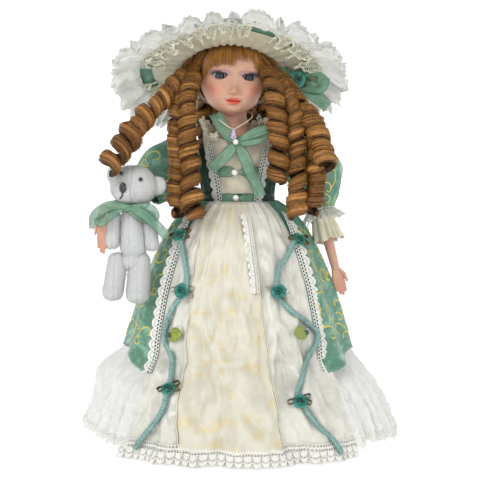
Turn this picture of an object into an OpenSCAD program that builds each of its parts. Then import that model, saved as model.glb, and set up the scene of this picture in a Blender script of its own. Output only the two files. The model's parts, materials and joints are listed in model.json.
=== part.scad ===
// Dressed porcelain doll on a rod stand, holding a small jointed plush bear.
// Origin on the floor under the middle of the skirt, +Z up, the doll faces -Y.
// Every cloth layer is a plain thin shell, a little clear of its neighbours.

/* [Skirts] */
// Radius of the skirts at the floor
hem_r = 145; // [142:0.5:149]
// Radius where the green overskirt ends
knee_r = 105; // [103:0.5:106]
// Height of the waist
waist_z = 226; // [225:0.5:228]
// Height of the overskirt's lower edge
over_z = 88; // [86:1:92]
// Half of the angle that the ivory front panel covers, in degrees
panel_half = 45; // [43:1:46]
// Thickness of a gathered cloth layer
cloth = 1.4; // [1:0.1:1.6]

/* [Body] */
// Sideways place of the head and neck
head_x = -4; // [-5:0.5:-3]
// Distance from the middle to the shoulder pivots
shoulder_x = 40; // [39:0.5:41]
// Height of the shoulder pivots
shoulder_z = 266; // [264:1:267]
// Height of the hip pivots
hip_z = 196; // [194:1:198]
// Distance from the middle to each leg
leg_x = 16; // [15:0.5:17]

/* [Hat] */
// Radius of the hat's head opening
hat_in = 42; // [41:0.5:43]
// Radius of the stiff brim
brim_r = 90; // [86:1:92]
// Outer radius of the organza ruffle
ruffle_r = 109; // [104:1:111]
// Backward tilt of the brim, in degrees
hat_tilt = 27; // [25:1:29]

/* [Bear] */
// Sideways place of the bear
bear_x = -97; // [-98:0.5:-96.5]
// How far the bear hangs in front of the doll's middle
bear_y = -56; // [-58:0.5:-55]

/* [Hidden] */

round_fn = 96;
small_fn = 48;
hull_fn = 24;
hat_at = [head_x - 4, 6, 350];
hat_drop = 6;           // how much lower the brim's edge is than its root
crown_h = 31;
tube_y = 31;            // the stand's upright, behind the legs
wrist = [-126, -57, 222];
body_depth = 0.72;      // front-to-back depth of the body over its width

// ---- rules that several pieces follow ----

// Outer half-width of the skirts: gathered at the waist, then a bell down to the floor
skirt_zs = [[waist_z, 32], [222, 43], [212, 55], [198, 66], [180, 76], [152, 87], [131, 93], [114, 98], [over_z, knee_r],
    [74, 117], [57, 128], [34, 137], [5, hem_r]];
function pick(z, table) = lookup(-z, [for (p = table) [-p[0], p[1]]]);
function skirt_r(z) = pick(z, skirt_zs);
// A point a given distance outside the skirt; angle 0 is the front, positive to the viewer's right
function on_skirt(a, z, out = 0) = [(skirt_r(z) + out) * sin(a), -(skirt_r(z) + out) * cos(a), z];

// A shell between two copies of an outline of [height, radius] points
module shell(zr, t, a0 = 0, a1 = 360) {
    n = len(zr);
    rotate([0, 0, a0])
    rotate_extrude(angle = a1 - a0, $fn = round_fn)
    polygon(concat([for (p = zr) [p[1], p[0]]], [for (i = [n - 1:-1:0]) [zr[i][1] - t, zr[i][0]]]));
}

// A solid of revolution from an outline of [height, radius] points
module turned(zr) {
    rotate_extrude($fn = round_fn)
    polygon(concat([[0, zr[0][0]]], [for (p = zr) [p[1], p[0]]], [[0, zr[len(zr) - 1][0]]]));
}

// A tube swept along points, with a radius at each and a direction that its rings lean on
function unit(v) = v / norm(v);
function along(p, i) = unit(p[min(i + 1, len(p) - 1)] - p[max(i - 1, 0)]);
function ring(c, t, side, r, n) =
    let (u = unit(cross(t, side)), v = cross(u, t))
    [for (k = [0:n - 1]) c + r * (cos(360 * k / n) * u + sin(360 * k / n) * v)];
module swept(points, radii, side, n = 10) {
    rings = [for (i = [0:len(points) - 1])
        ring(points[i], along(points, i), is_list(side[0]) ? side[i] : side, radii[i], n)];
    last = len(points) - 1;
    polyhedron(
        [for (r = rings) each r],
        concat(
            [[for (k = [0:n - 1]) k]],
            [for (i = [0:last - 1]) for (k = [0:n - 1]) let (a = i * n + k, b = i * n + (k + 1) % n)
                each [[a, a + n, b + n], [a, b + n, b]]],
            [[for (k = [n - 1:-1:0]) last * n + k]]));
}

// Stands what is drawn along +Z on the line from a to b
module from_to(a, b) {
    d = b - a;
    translate(a) rotate([0, acos(d[2] / norm(d)), atan2(d[1], d[0])]) children();
}

// Round-ended limb between two points
module limb(a, b, ra, rb) {
    from_to(a, b) rotate_extrude($fn = round_fn) polygon(concat(
        [for (t = [-90:15:0]) [ra * cos(t), ra * sin(t)]],
        [for (t = [0:15:90]) [rb * cos(t), norm(b - a) + rb * sin(t)]]));
}

// Straight round bar between two points
module bar(a, b, ra, rb) {
    from_to(a, b) cylinder(h = norm(b - a), r1 = ra, r2 = rb, $fn = small_fn);
}

// Ribbon folded into a soft strip between two points
module strip(a, b, ra, rb) {
    hull() {
        translate(a) sphere(r = ra, $fn = 16);
        translate(b) sphere(r = rb, $fn = 16);
    }
}

module in_hat_frame() { translate(hat_at) rotate([-hat_tilt, 0, 0]) children(); }

// ---- stand ----

module stand_base() {
    color("white") difference() {
        union() {
            translate([0, 12, 0]) cylinder(h = 4, r = 52, $fn = round_fn);
            translate([0, tube_y, 0]) cylinder(h = 12, r = 7, $fn = small_fn);
        }
        translate([0, tube_y, 2]) cylinder(h = 20, r = 4, $fn = small_fn);
    }
}
module stand_tube() {
    color("gainsboro") translate([0, tube_y, 2]) difference() {
        cylinder(h = 118, r = 4, $fn = small_fn);
        translate([0, 0, -1]) cylinder(h = 120, r = 3.05, $fn = small_fn);
    }
}
module stand_rod() {
    color("silver") translate([0, tube_y, 60]) cylinder(h = 154, r = 3, $fn = small_fn);
}
// Sprung band that hugs the waist under the clothes, open in front, fixed to the top of the rod
module stand_clip() {
    color("silver") difference() {
        union() {
            translate([0, 0, 214]) cylinder(h = 2.4, r = 27.4, $fn = round_fn);
            translate([-2.5, 24, 214]) cube([5, 9, 2.4]);
        }
        translate([0, 0, 213]) cylinder(h = 5, r = 25.4, $fn = round_fn);
        translate([-13, -40, 213]) cube([26, 30, 5]);
    }
}

// ---- body ----

module torso() {
    color("linen") scale([1, body_depth, 1])
    turned([[188, 18], [196, 24], [210, 24.5], [224, 23.5], [240, 27], [262, 31], [264, 31]]);
}
module head_and_shoulder_plate() {
    color("bisque") difference() {
        union() {
            translate([head_x, 2, 346]) sphere(r = 30.5, $fn = round_fn);
            translate([head_x, -5, 327]) sphere(r = 22.5, $fn = round_fn);
            translate([head_x + 1, 2, 276]) cylinder(h = 40, r = 13.2, $fn = small_fn);
            translate([head_x + 1, 2, 264]) scale([1, body_depth, 1]) turned([[0, 29], [24, 13.2]]);
        }
        translate([head_x, 2, 346]) sphere(r = 27.5, $fn = round_fn);
        translate([head_x, -5, 327]) sphere(r = 19.5, $fn = round_fn);
        translate([head_x + 1, 2, 262]) cylinder(h = 60, r = 10, $fn = small_fn);
        translate([head_x + 1, 2, 263]) scale([1, body_depth, 1]) turned([[0, 26.4], [20, 10]]);
        translate([head_x - 40, -40, 369]) cube([80, 80, 20]);
        for (side = [-1, 1]) translate([head_x + side * 13.5, -20.4, 339]) sphere(r = 6.4, $fn = small_fn);
    }
}
module glass_eyes() {
    color("slategray") for (side = [-1, 1])
        translate([head_x + side * 13.5, -20.4, 339]) sphere(r = 6.1, $fn = small_fn);
}
// Card dome that closes the open crown of the head
module head_pate() {
    color("tan") intersection() {
        translate([head_x, 2, 346]) sphere(r = 30.5, $fn = round_fn);
        translate([head_x - 30, -28, 369]) cube([60, 60, 20]);
    }
}
module wig_cap() {
    color("saddlebrown") difference() {
        translate([head_x, 2, 346]) sphere(r = 34.5, $fn = round_fn);
        translate([head_x, 2, 346]) sphere(r = 30.8, $fn = round_fn);
        translate([head_x, -5, 327]) sphere(r = 22.8, $fn = round_fn);
        translate([head_x - 50, -50, 290]) cube([100, 44, 72]);
        translate([head_x - 50, -50, 290]) cube([100, 100, 32]);
    }
}
module fringe() {
    color("peru") difference() {
        intersection() {
            translate([head_x, 2, 346]) sphere(r = 33.5, $fn = round_fn);
            translate([head_x - 24, -50, 353]) cube([48, 43.5, 9]);
        }
        translate([head_x, 2, 346]) sphere(r = 30.8, $fn = round_fn);
    }
}

// A hanging ringlet's outer shape: a fat tube from its root to its end
module ringlet(points, r_root, r_end) {
    n = len(points);
    swept(points, [for (i = [0:n - 1]) r_root + (r_end - r_root) * i / (n - 1)], [0, 1, 0]);
}
module right_curls() {
    color("peru") {
        ringlet([[-52, -34, 336], [-64, -40, 322], [-82, -50, 304], [-97, -62, 286], [-112, -74, 267]], 7, 11.5);
        ringlet([[-36, -42, 336], [-41, -46, 322], [-43, -50, 300], [-43, -54, 255], [-43, -64, 214]], 7, 9);
        ringlet([[-56, -42, 312], [-59.5, -44, 300], [-60, -46, 285], [-59.5, -50, 250], [-58.7, -57, 216]], 7, 7.5);
    }
}
module left_curls() {
    color("peru") {
        ringlet([[27, -40, 338], [31, -42, 325], [36, -45, 302], [37, -46, 275], [36, -46, 246]], 6, 8.5);
        ringlet([[43, -36, 330], [49, -39, 318], [54, -44, 298], [55, -50, 255], [54, -58, 216]], 5.5, 7.5);
        ringlet([[60, -32, 318], [66, -35, 308], [72, -40, 292], [73.5, -43, 255], [71.5, -45, 214]], 5.5, 8.5);
    }
}
module back_curls() {
    color("sienna") for (i = [-2:2])
        ringlet([[head_x + 14 * i, 41 - abs(i), 317], [head_x + 15 * i, 45 - abs(i), 304], [16 * i, 47 - abs(i), 285],
            [17 * i, 48 - abs(i), 245]], 7, 7.5);
}

// side is -1 for the doll's right, on the viewer's left
function elbow(side) = side < 0 ? [-86, -12, 230] : [80, -2, 222];
function hand_top(side) = side < 0 ? wrist : [93, -14, 168];
function finger_tip(side) = side < 0 ? [-129, -63, 178] : [99, -20, 145];

module upper_arm(side) {
    color("linen") limb([side * (shoulder_x - 1), 2, shoulder_z - 2], elbow(side), 6, 6);
}
module right_upper_arm() { upper_arm(-1); }
module left_upper_arm() { upper_arm(1); }

// Bisque lower arm, with a mitten hand, that starts beyond the cloth arm
module forearm(side) {
    e = elbow(side);
    h = hand_top(side);
    start = e + unit(h - e) * 8.5;
    color("bisque") {
        bar(start, h, 6.2, 4.6);
        limb(h, finger_tip(side), 4.8, 3.4);
    }
}
module right_forearm() { forearm(-1); }
module left_forearm() { forearm(1); }

module sleeve(side) {
    a = [side * (shoulder_x + 22), 2, 260];
    b = side < 0 ? [-76, -3, 237] : [71, -1, 236];
    color("seagreen") difference() {
        limb(a, b, 20, 22);
        limb(a, b, 18.5, 20.5);
        bar([side * (shoulder_x - 4), 2, shoulder_z - 2], a, 7, 7);
        limb([side * (shoulder_x - 1), 2, shoulder_z - 2], elbow(side), 6.8, 6.8);
        bar(elbow(side), elbow(side) + 14 * unit(hand_top(side) - elbow(side)), 7.4, 7.4);
    }
}
module right_sleeve() { sleeve(-1); }
module left_sleeve() { sleeve(1); }

// Gathered cuff that opens towards the wrist
module cuff(side) {
    e = elbow(side);
    d = unit(hand_top(side) - e);
    start = e + d * (side < 0 ? 16 : 17);
    end = e + d * (side < 0 ? 24 : 40);
    flare = side < 0 ? 11 : 13;
    color("ivory") difference() {
        bar(start, end, 10.5, flare);
        bar(start + d * 1.5, end + d, 9.3, flare - 1.4);
        bar(start - d, start + 3 * d, 7, 7);
    }
}
module right_cuff() { cuff(-1); }
module left_cuff() { cuff(1); }

module upper_leg(side) { color("linen") limb([side * leg_x, 0, hip_z - 22], [side * leg_x, -1, 120], 9, 9); }
module right_upper_leg() { upper_leg(-1); }
module left_upper_leg() { upper_leg(1); }
module lower_leg(side) {
    color("bisque") translate([side * leg_x, -1, 0]) {
        translate([0, 0, 20]) cylinder(h = 52, r1 = 6, r2 = 8.5, $fn = small_fn);
        translate([0, 0, 72]) cylinder(h = 39, r1 = 8.5, r2 = 9.5, $fn = small_fn);
    }
}
module right_lower_leg() { lower_leg(-1); }
module left_lower_leg() { lower_leg(1); }
module shoe(side) {
    color("ivory") translate([side * leg_x, 0, 8.5]) difference() {
        hull() {
            translate([0, 5, 0]) cylinder(h = 10, r = 7, $fn = hull_fn);
            translate([0, -22, 0]) cylinder(h = 6, r = 8, $fn = hull_fn);
            translate([0, -1, 10]) cylinder(h = 6, r = 8, $fn = hull_fn);
        }
        translate([0, -1, 11.5]) cylinder(h = 10, r = 6.6, $fn = hull_fn);
    }
}
module right_shoe() { shoe(-1); }
module left_shoe() { shoe(1); }

// ---- clothes ----

under_zs = [for (z = [222, 212, 198, 180, 152, 114, over_z, 57, 34, 12]) [z, skirt_r(z) - 4.5]];
module petticoat() {
    color("white") shell(concat([[224, 30]], under_zs), cloth);
}
module bodice() {
    color("ivory") scale([1, body_depth, 1]) difference() {
        shell([[waist_z + 0.5, 30], [234, 32], [248, 35], [266, 36.5], [276, 35], [282, 30]], cloth);
        for (side = [-1, 1]) translate([side * 30, 0, shoulder_z]) rotate([0, 90, 0])
            cylinder(h = 20, r = 11, center = true, $fn = small_fn);
    }
}
// Gathered cloth belt that the skirts hang from
module waist_sash() {
    color("darkseagreen") scale([1, 0.76, 1]) shell([[224.2, 33.6], [234, 33.8]], 1);
}
function layer(top, bottom, out) =
    [for (z = [top, 222, 212, 198, 180, 152, 131, 114, over_z, 74, 57, 34, 5, 2]) if (z <= top && z >= bottom) [z, skirt_r(z) + out]];
module skirt_front() {
    color("ivory") shell(layer(224, 2, 0), cloth, -90 - panel_half, -90 + panel_half);
}
module overskirt() {
    color("seagreen") shell(layer(224, over_z, 0), cloth, -90 + panel_half, 270 - panel_half);
}
module flounce() {
    color("white") shell(concat([[over_z - 0.3, knee_r]], layer(74, 5, 0)), cloth, -90 + panel_half, 270 - panel_half);
}
module hem_lace() {
    color("white") shell([for (z = [15, 5, 3]) [z, skirt_r(z) + 1.5]], 1, -90 - panel_half, -90 + panel_half);
}
// Four strips of eyelet lace down the front: two at the seams, two beside the middle stripe
module lace_strip(a, top, bottom) {
    shell(concat(layer(top, bottom + 1, 1.2), [[bottom, skirt_r(bottom) + 1.2]]), 1, -90 + a - 2.2, -90 + a + 2.2);
}
module panel_lace() {
    color("white") {
        for (side = [-1, 1]) lace_strip(side * (panel_half + 1), 210, 90);
        lace_strip(-24, 210, 20);
        lace_strip(10, 210, 20);
    }
}
module bodice_lace() {
    color("white") for (side = [-1, 1])
        swept([for (t = [0:0.125:0.875]) let (z = 278 - 48 * t, x = side * (31 - 13 * t))
                [x, -body_depth * (sqrt(max(1, pow(pick(z, [[300, 36], [276, 37], [262, 39.2], [248, 38], [226, 35.4]]), 2) - x * x))) - 0.8, z]],
            [for (t = [0:0.125:0.875]) 0.9], [0, 1, 0], 8);
}
// Stand-up lace round the neckline, open in front
module collar_lace() {
    color("ivory") translate([head_x + 2, 2, 0]) scale([1, 0.82, 1])
        shell([[283, 31], [288, 26], [297, 27]], 1.2, -90 + 44, 270 - 44);
}
module bodice_ribbons() {
    color("seagreen") for (z = [228.5, 252]) intersection() {
        scale([1, body_depth, 1]) shell([[z - 4, 38.2], [z + 4, 38.6]], 1);
        translate([-20.5, -60, z - 6]) cube([41, 60, 12]);
    }
}
// Organza bow: two loops, two tails and the ribbon up to the neck
module neck_bow() {
    knot = [-2, -32, 280];
    color("seagreen") {
        strip(knot, [-11, -27, 289], 3.4, 2);
        strip([-11, -27, 289], [-15, -20, 296], 2, 1.4);
        strip(knot, [24, -31, 289], 3.2, 4.4);
        strip(knot, [-25, -34.5, 257], 2.6, 2.4);
        strip(knot, [19, -35.5, 236], 2.6, 2.4);
    }
}
module pearls() {
    color("white") for (p = [[-2, -37.5, 280], [-4, -30.4, 252], [-3, -30.2, 228.5]])
        translate(p) sphere(r = 1.9, $fn = 24);
}

// ---- chenille garlands, roses and buds ----

// [angle, height] of the garlands where they are tacked to the skirt
right_route = [[-45, 192], [-40, 184], [-31, 166], [-29, 152], [-31, 146], [-36, 130], [-40, 118], [-39, 104], [-33, 90],
    [-29, 74], [-28, 62], [-28, 50], [-31, 37], [-35, 25], [-39, 12]];
left_route = [[43, 190], [34, 178], [26, 168], [22, 154], [23, 142], [27, 131], [37, 121], [43, 111], [42, 101],
    [36, 88], [28, 75], [24, 60], [25, 51], [29, 36], [34, 22], [37, 10]];
module garland(route) {
    swept([for (p = route) on_skirt(p[0], p[1], 4.2)], [for (p = route) 2.8],
        [for (p = route) [sin(p[0]), -cos(p[0]), 0]], 8);
}
module right_garland() { color("cadetblue") garland(right_route); }
module left_garland() { color("cadetblue") garland(left_route); }
module roses() {
    color("teal") for (p = [[-46, 196], [-31, 148], [-28, 66], [47, 192], [22, 148], [24, 56]])
        translate(on_skirt(p[0], p[1], 13.4)) sphere(r = 5.3, $fn = 32);
}
module leaf_buds() {
    color("olive") for (p = [[-36, 112], [38, 113]])
        translate(on_skirt(p[0], p[1], 11.4)) sphere(r = 4, $fn = 32);
}

// ---- jewellery ----

module necklace_chain() {
    color("lightyellow") translate([head_x + 1, 2, 0])
        swept([for (a = [0:24:336]) [14.6 * sin(a) * (1 + 0.12 * cos(a)), -14.6 * cos(a) - 4 * max(0, cos(a)), 297 - 5 * cos(a)]],
            [for (a = [0:24:336]) 0.5], [0, 0, 1], 6);
}
module pendant() {
    color("thistle") translate([-4.5, -20.5, 288.6]) sphere(r = 2.4, $fn = 32);
}

// ---- hat ----

function brim_h(r) = -hat_drop * pow((r - hat_in) / (brim_r - hat_in), 2);
brim_rs = [for (i = [0:4]) hat_in + (brim_r - hat_in) * i / 4];
module hat() {
    color("seagreen") in_hat_frame() rotate_extrude($fn = round_fn)
        polygon(concat(
            [[0, crown_h], [hat_in - 8, crown_h - 2], [hat_in - 1, crown_h - 9]],
            [for (r = brim_rs) [r, brim_h(r) + (r == hat_in ? 0.7 : 0)]],
            [for (i = [4:-1:1]) [brim_rs[i], brim_h(brim_rs[i]) - 1.4]],
            [[hat_in - 1.5, -1.4], [hat_in - 2.4, crown_h - 9.8], [hat_in - 8.8, crown_h - 3.4], [0, crown_h - 1.4]]));
}
module hat_lining() {
    color("ivory") in_hat_frame() rotate_extrude($fn = round_fn)
        polygon(concat(
            [for (r = [hat_in - 1, 54, 66, 76]) [r, brim_h(r) - 1.9]],
            [for (r = [76, 66, 54, hat_in - 1]) [r, brim_h(r) - 2.9]]));
}
module hat_lace() {
    color("lemonchiffon") in_hat_frame() rotate_extrude($fn = round_fn)
        polygon([[77, brim_h(77) - 1.9], [89, brim_h(89) - 1.9], [89, brim_h(89) - 3.1], [77, brim_h(77) - 3.1]]);
}
module hat_ruffle() {
    color("white") in_hat_frame() rotate_extrude($fn = round_fn)
        polygon([[brim_r + 0.3, -hat_drop - 3], [brim_r + 0.3, -hat_drop + 1], [ruffle_r, -hat_drop + 3], [ruffle_r, -hat_drop - 8]]);
}
module hat_bow() {
    color("seagreen") in_hat_frame() {
        hull() {
            translate([76, 40, -14.8]) sphere(r = 5, $fn = hull_fn);
            translate([92, 44, -17]) sphere(r = 5, $fn = hull_fn);
        }
        hull() {
            translate([90, 44, -17]) sphere(r = 5, $fn = hull_fn);
            translate([96, 58, -19]) sphere(r = 4, $fn = hull_fn);
        }
    }
}
module hat_rose() {
    color("teal") in_hat_frame() translate([78, 26, -16.2]) sphere(r = 7, $fn = 48);
}

// ---- bear ----

bear_at = [bear_x, bear_y, 0];
module bear_body() {
    color("white") translate(bear_at) limb([-1, 0, 212], [-1, 0, 194], 9, 11.2);
}
module bear_head() {
    color("white") translate(bear_at) {
        translate([2, 0, 240.5]) sphere(r = 18, $fn = round_fn);
        translate([-5, -14, 236]) sphere(r = 9, $fn = small_fn);
        for (side = [-1, 1]) translate([3 + side * 18.7, 2, side > 0 ? 242 : 246]) sphere(r = 7.2, $fn = small_fn);
    }
}
module bear_face() {
    color("black") translate(bear_at) {
        translate([-6.2, -25.1, 239.4]) sphere(r = 2.6, $fn = 32);
        for (p = [[-7, -14.5, 250.6], [9.5, -17.6, 246]]) translate(p) sphere(r = 1.6, $fn = 32);
    }
}
module bear_right_arm() { color("white") translate(bear_at) limb([-17.5, 0, 209], [-18, -3, 194], 6, 6); }
module bear_left_arm() { color("white") translate(bear_at) limb([17, 0, 210], [18.5, -3, 192], 6.2, 6.2); }
module bear_right_leg() { color("white") translate(bear_at) limb([-13, 0, 170], [-16, -3, 147], 8.2, 9.5); }
module bear_left_leg() { color("white") translate(bear_at) limb([9, 0, 170], [9, -3, 145], 9, 10.5); }
// Ribbon round the neck, carried by a loop over the doll's wrist
module bear_ribbon() {
    color("seagreen") {
        translate(bear_at + [-1, 0, 221.8]) rotate_extrude($fn = small_fn) translate([9.5, 0]) circle(r = 1.2, $fn = 24);
        strip(bear_at + [-10.5, 0, 222.2], wrist + [2.5, 0, 10], 1.3, 1.3);
        from_to(wrist, elbow(-1)) translate([0, 0, 4]) rotate_extrude($fn = small_fn)
            translate([8.4, 0]) circle(r = 1.2, $fn = 24);
    }
}

stand_base();
stand_tube();
stand_rod();
stand_clip();
torso();
head_and_shoulder_plate();
glass_eyes();
head_pate();
right_upper_arm();
left_upper_arm();
right_forearm();
left_forearm();
right_upper_leg();
left_upper_leg();
right_lower_leg();
left_lower_leg();
right_shoe();
left_shoe();
wig_cap();
fringe();
right_curls();
left_curls();
back_curls();
petticoat();
bodice();
skirt_front();
overskirt();
flounce();
waist_sash();
hem_lace();
panel_lace();
bodice_lace();
collar_lace();
bodice_ribbons();
neck_bow();
pearls();
right_garland();
left_garland();
roses();
leaf_buds();
necklace_chain();
pendant();
right_sleeve();
left_sleeve();
right_cuff();
left_cuff();
hat();
hat_lining();
hat_ruffle();
hat_lace();
hat_bow();
hat_rose();
bear_body();
bear_head();
bear_right_arm();
bear_left_arm();
bear_right_leg();
bear_left_leg();
bear_face();
bear_ribbon();
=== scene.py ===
"""Porcelain doll in a green and ivory gown: the looks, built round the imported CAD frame.

Lengths are in millimetres until a mesh is made, which turns them into metres.
Angles round the skirt start at the front and grow towards the viewer's right.
"""
import json
import random
from math import atan2, copysign, cos, degrees, exp, hypot, pi, radians, sin, sqrt

import bmesh
import bpy
from mathutils import Matrix, Vector, noise

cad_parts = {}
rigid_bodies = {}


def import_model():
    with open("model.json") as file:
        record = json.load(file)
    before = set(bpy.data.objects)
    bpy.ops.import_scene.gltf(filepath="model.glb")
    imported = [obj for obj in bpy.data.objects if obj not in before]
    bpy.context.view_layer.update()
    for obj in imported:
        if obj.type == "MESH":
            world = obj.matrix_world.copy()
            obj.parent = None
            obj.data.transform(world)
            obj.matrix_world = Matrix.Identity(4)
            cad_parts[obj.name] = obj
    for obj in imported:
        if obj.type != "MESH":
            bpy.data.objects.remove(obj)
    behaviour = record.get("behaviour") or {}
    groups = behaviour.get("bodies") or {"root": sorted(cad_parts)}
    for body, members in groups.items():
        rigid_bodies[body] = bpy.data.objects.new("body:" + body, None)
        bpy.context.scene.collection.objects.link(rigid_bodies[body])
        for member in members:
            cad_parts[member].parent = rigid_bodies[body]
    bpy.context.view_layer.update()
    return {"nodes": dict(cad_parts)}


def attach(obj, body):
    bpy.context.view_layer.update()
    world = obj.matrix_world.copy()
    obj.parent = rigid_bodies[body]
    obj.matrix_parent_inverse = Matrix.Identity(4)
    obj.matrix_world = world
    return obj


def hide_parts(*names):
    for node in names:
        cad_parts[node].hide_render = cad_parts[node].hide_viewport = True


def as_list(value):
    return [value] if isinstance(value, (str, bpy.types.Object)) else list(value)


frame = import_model()
MM = 0.001
TAU = 2 * pi

# ---------------------------------------------------------------- small maths


def clamp(x, low=0.0, high=1.0):
    return max(low, min(high, x))


def smooth(x, a, b):
    """0 before a, 1 after b, and a soft step between."""
    t = clamp((x - a) / (b - a))
    return t * t * (3 - 2 * t)


def mix(a, b, t):
    return a + (b - a) * t


def bump(x, centre, width):
    return exp(-((x - centre) / width) ** 2)


def table(x, rows):
    """Straight-line lookup in rows of (x, value), with x falling."""
    if x >= rows[0][0]:
        return rows[0][1]
    for (x0, y0), (x1, y1) in zip(rows, rows[1:]):
        if x >= x1:
            return mix(y0, y1, (x0 - x) / (x0 - x1))
    return rows[-1][1]


def wobble(x, y=0.0, z=0.0):
    return noise.noise(Vector((x, y, z)))


def curve_through(points, count):
    """Evenly spaced points on a smooth curve through the given ones."""
    pts = [Vector(p) for p in points]
    ends = [2 * pts[0] - pts[1]] + pts + [2 * pts[-1] - pts[-2]]
    fine = []
    for i in range(1, len(ends) - 2):
        p0, p1, p2, p3 = ends[i - 1:i + 3]
        for k in range(16):
            t = k / 16
            fine.append(0.5 * ((2 * p1) + (p2 - p0) * t + (2 * p0 - 5 * p1 + 4 * p2 - p3) * t * t
                               + (3 * p1 - p0 - 3 * p2 + p3) * t ** 3))
    fine.append(pts[-1])
    steps = [0.0]
    for a, b in zip(fine, fine[1:]):
        steps.append(steps[-1] + (b - a).length)
    out = []
    j = 0
    for k in range(count):
        s = steps[-1] * k / (count - 1)
        while j < len(steps) - 2 and steps[j + 1] < s:
            j += 1
        t = (s - steps[j]) / max(steps[j + 1] - steps[j], 1e-9)
        out.append(fine[j].lerp(fine[j + 1], t))
    return out


def frames_along(points, lean):
    """Tangent, side and out directions at each point; out leans towards lean(i)."""
    rows = []
    for i, p in enumerate(points):
        t = (points[min(i + 1, len(points) - 1)] - points[max(i - 1, 0)]).normalized()
        out = Vector(lean(i) if callable(lean) else lean)
        side = t.cross(out).normalized()
        rows.append((p, t, side, side.cross(t)))
    return rows


# ---------------------------------------------------------------- materials

def principled(name, color, rough=0.6, **sockets):
    mat = bpy.data.materials.new(name)
    mat.use_nodes = True
    shader = mat.node_tree.nodes["Principled BSDF"]
    shader.inputs["Base Color"].default_value = (*color, 1)
    shader.inputs["Roughness"].default_value = rough
    for key, value in sockets.items():
        shader.inputs[key.replace("_", " ")].default_value = value
    return mat, mat.node_tree, shader


def node(tree, kind, **values):
    n = tree.nodes.new(kind)
    for key, value in values.items():
        if key in n.inputs:
            n.inputs[key].default_value = value
        else:
            setattr(n, key, value)
    return n


def coords(tree, scale, uv=True):
    """UV or object coordinates in millimetres, scaled."""
    src = node(tree, "ShaderNodeTexCoord")
    scaler = node(tree, "ShaderNodeMapping")
    scaler.inputs["Scale"].default_value = scale
    tree.links.new(src.outputs["UV" if uv else "Object"], scaler.inputs["Vector"])
    return scaler.outputs["Vector"]


def ramp(tree, source, stops):
    r = node(tree, "ShaderNodeValToRGB")
    while len(r.color_ramp.elements) < len(stops):
        r.color_ramp.elements.new(0.5)
    for element, (at, color) in zip(r.color_ramp.elements, stops):
        element.position = at
        element.color = (*color, 1) if len(color) == 3 else color
    tree.links.new(source, r.inputs["Fac"])
    return r.outputs["Color"]


def add_bump(tree, shader, height, strength=0.3, distance=0.0002):
    b = node(tree, "ShaderNodeBump", Strength=strength, Distance=distance)
    tree.links.new(height, b.inputs["Height"])
    if shader.inputs["Normal"].links:
        tree.links.new(shader.inputs["Normal"].links[0].from_socket, b.inputs["Normal"])
    tree.links.new(b.outputs["Normal"], shader.inputs["Normal"])


def weave(tree, shader, per_mm, strength, distance=0.00015, uv=True):
    """Over-and-under threads as bump."""
    scale = (per_mm, per_mm, per_mm) if uv else (per_mm * 1000,) * 3
    at = coords(tree, scale, uv)
    waves = []
    for direction in ("X", "Y"):
        w = node(tree, "ShaderNodeTexWave", bands_direction=direction, Scale=1.0, Distortion=0.6)
        tree.links.new(at, w.inputs["Vector"])
        waves.append(w.outputs["Fac"])
    m = node(tree, "ShaderNodeMath", operation="MULTIPLY")
    for k in (0, 1):
        tree.links.new(waves[k], m.inputs[k])
    add_bump(tree, shader, m.outputs["Value"], strength, distance)


def mottle(tree, shader, dark, light, scale=400.0, low=0.35, high=0.65, rough=None):
    """Slow colour change over the surface, in object space."""
    n = node(tree, "ShaderNodeTexNoise", Scale=scale, Detail=6.0, Roughness=0.65)
    tree.links.new(coords(tree, (1, 1, 1), uv=False), n.inputs["Vector"])
    tree.links.new(ramp(tree, n.outputs["Fac"], [(low, dark), (high, light)]), shader.inputs["Base Color"])
    if rough:
        tree.links.new(ramp(tree, n.outputs["Fac"], [(low, (rough[0],) * 3), (high, (rough[1],) * 3)]),
                       shader.inputs["Roughness"])
    return n.outputs["Fac"]


def cloth(name, dark, light, rough, threads, strength, sheen=0.3, scale=60.0, **sockets):
    mat, tree, shader = principled(name, light, rough, Sheen_Weight=sheen, Sheen_Roughness=0.4, **sockets)
    fac = mottle(tree, shader, dark, light, scale, rough=(rough - 0.06, rough + 0.06))
    add_bump(tree, shader, fac, 0.25, 0.0006)
    weave(tree, shader, threads, strength)
    return mat


def brocade(name, dark, light, figure, rough, size=0.055):
    """Satin ground with a tone-on-tone woven figure of curled leaves."""
    mat, tree, shader = principled(name, light, rough, Sheen_Weight=0.25, Sheen_Roughness=0.35,
                                   Anisotropic=0.4, Specular_IOR_Level=0.55)
    at = coords(tree, (size, size, size))
    warp = node(tree, "ShaderNodeTexNoise", Scale=1.7, Detail=2.0)
    tree.links.new(at, warp.inputs["Vector"])
    bend = node(tree, "ShaderNodeVectorMath", operation="MULTIPLY_ADD")
    bend.inputs[1].default_value = (1.6, 1.6, 1.6)
    tree.links.new(warp.outputs["Color"], bend.inputs[0])
    tree.links.new(at, bend.inputs[2])
    leaf = node(tree, "ShaderNodeTexVoronoi", Scale=1.5, feature="SMOOTH_F1", Smoothness=0.35)
    tree.links.new(bend.outputs["Vector"], leaf.inputs["Vector"])
    tone = ramp(tree, leaf.outputs["Distance"], [(0.22, figure), (0.40, light), (0.72, dark)])
    tree.links.new(tone, shader.inputs["Base Color"])
    tree.links.new(ramp(tree, leaf.outputs["Distance"],
                        [(0.2, (rough - 0.08,) * 3), (0.5, (rough + 0.1,) * 3)]),
                   shader.inputs["Roughness"])
    add_bump(tree, shader, leaf.outputs["Distance"], 0.15, 0.0003)
    weave(tree, shader, 9.0, 0.2)
    return mat


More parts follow.
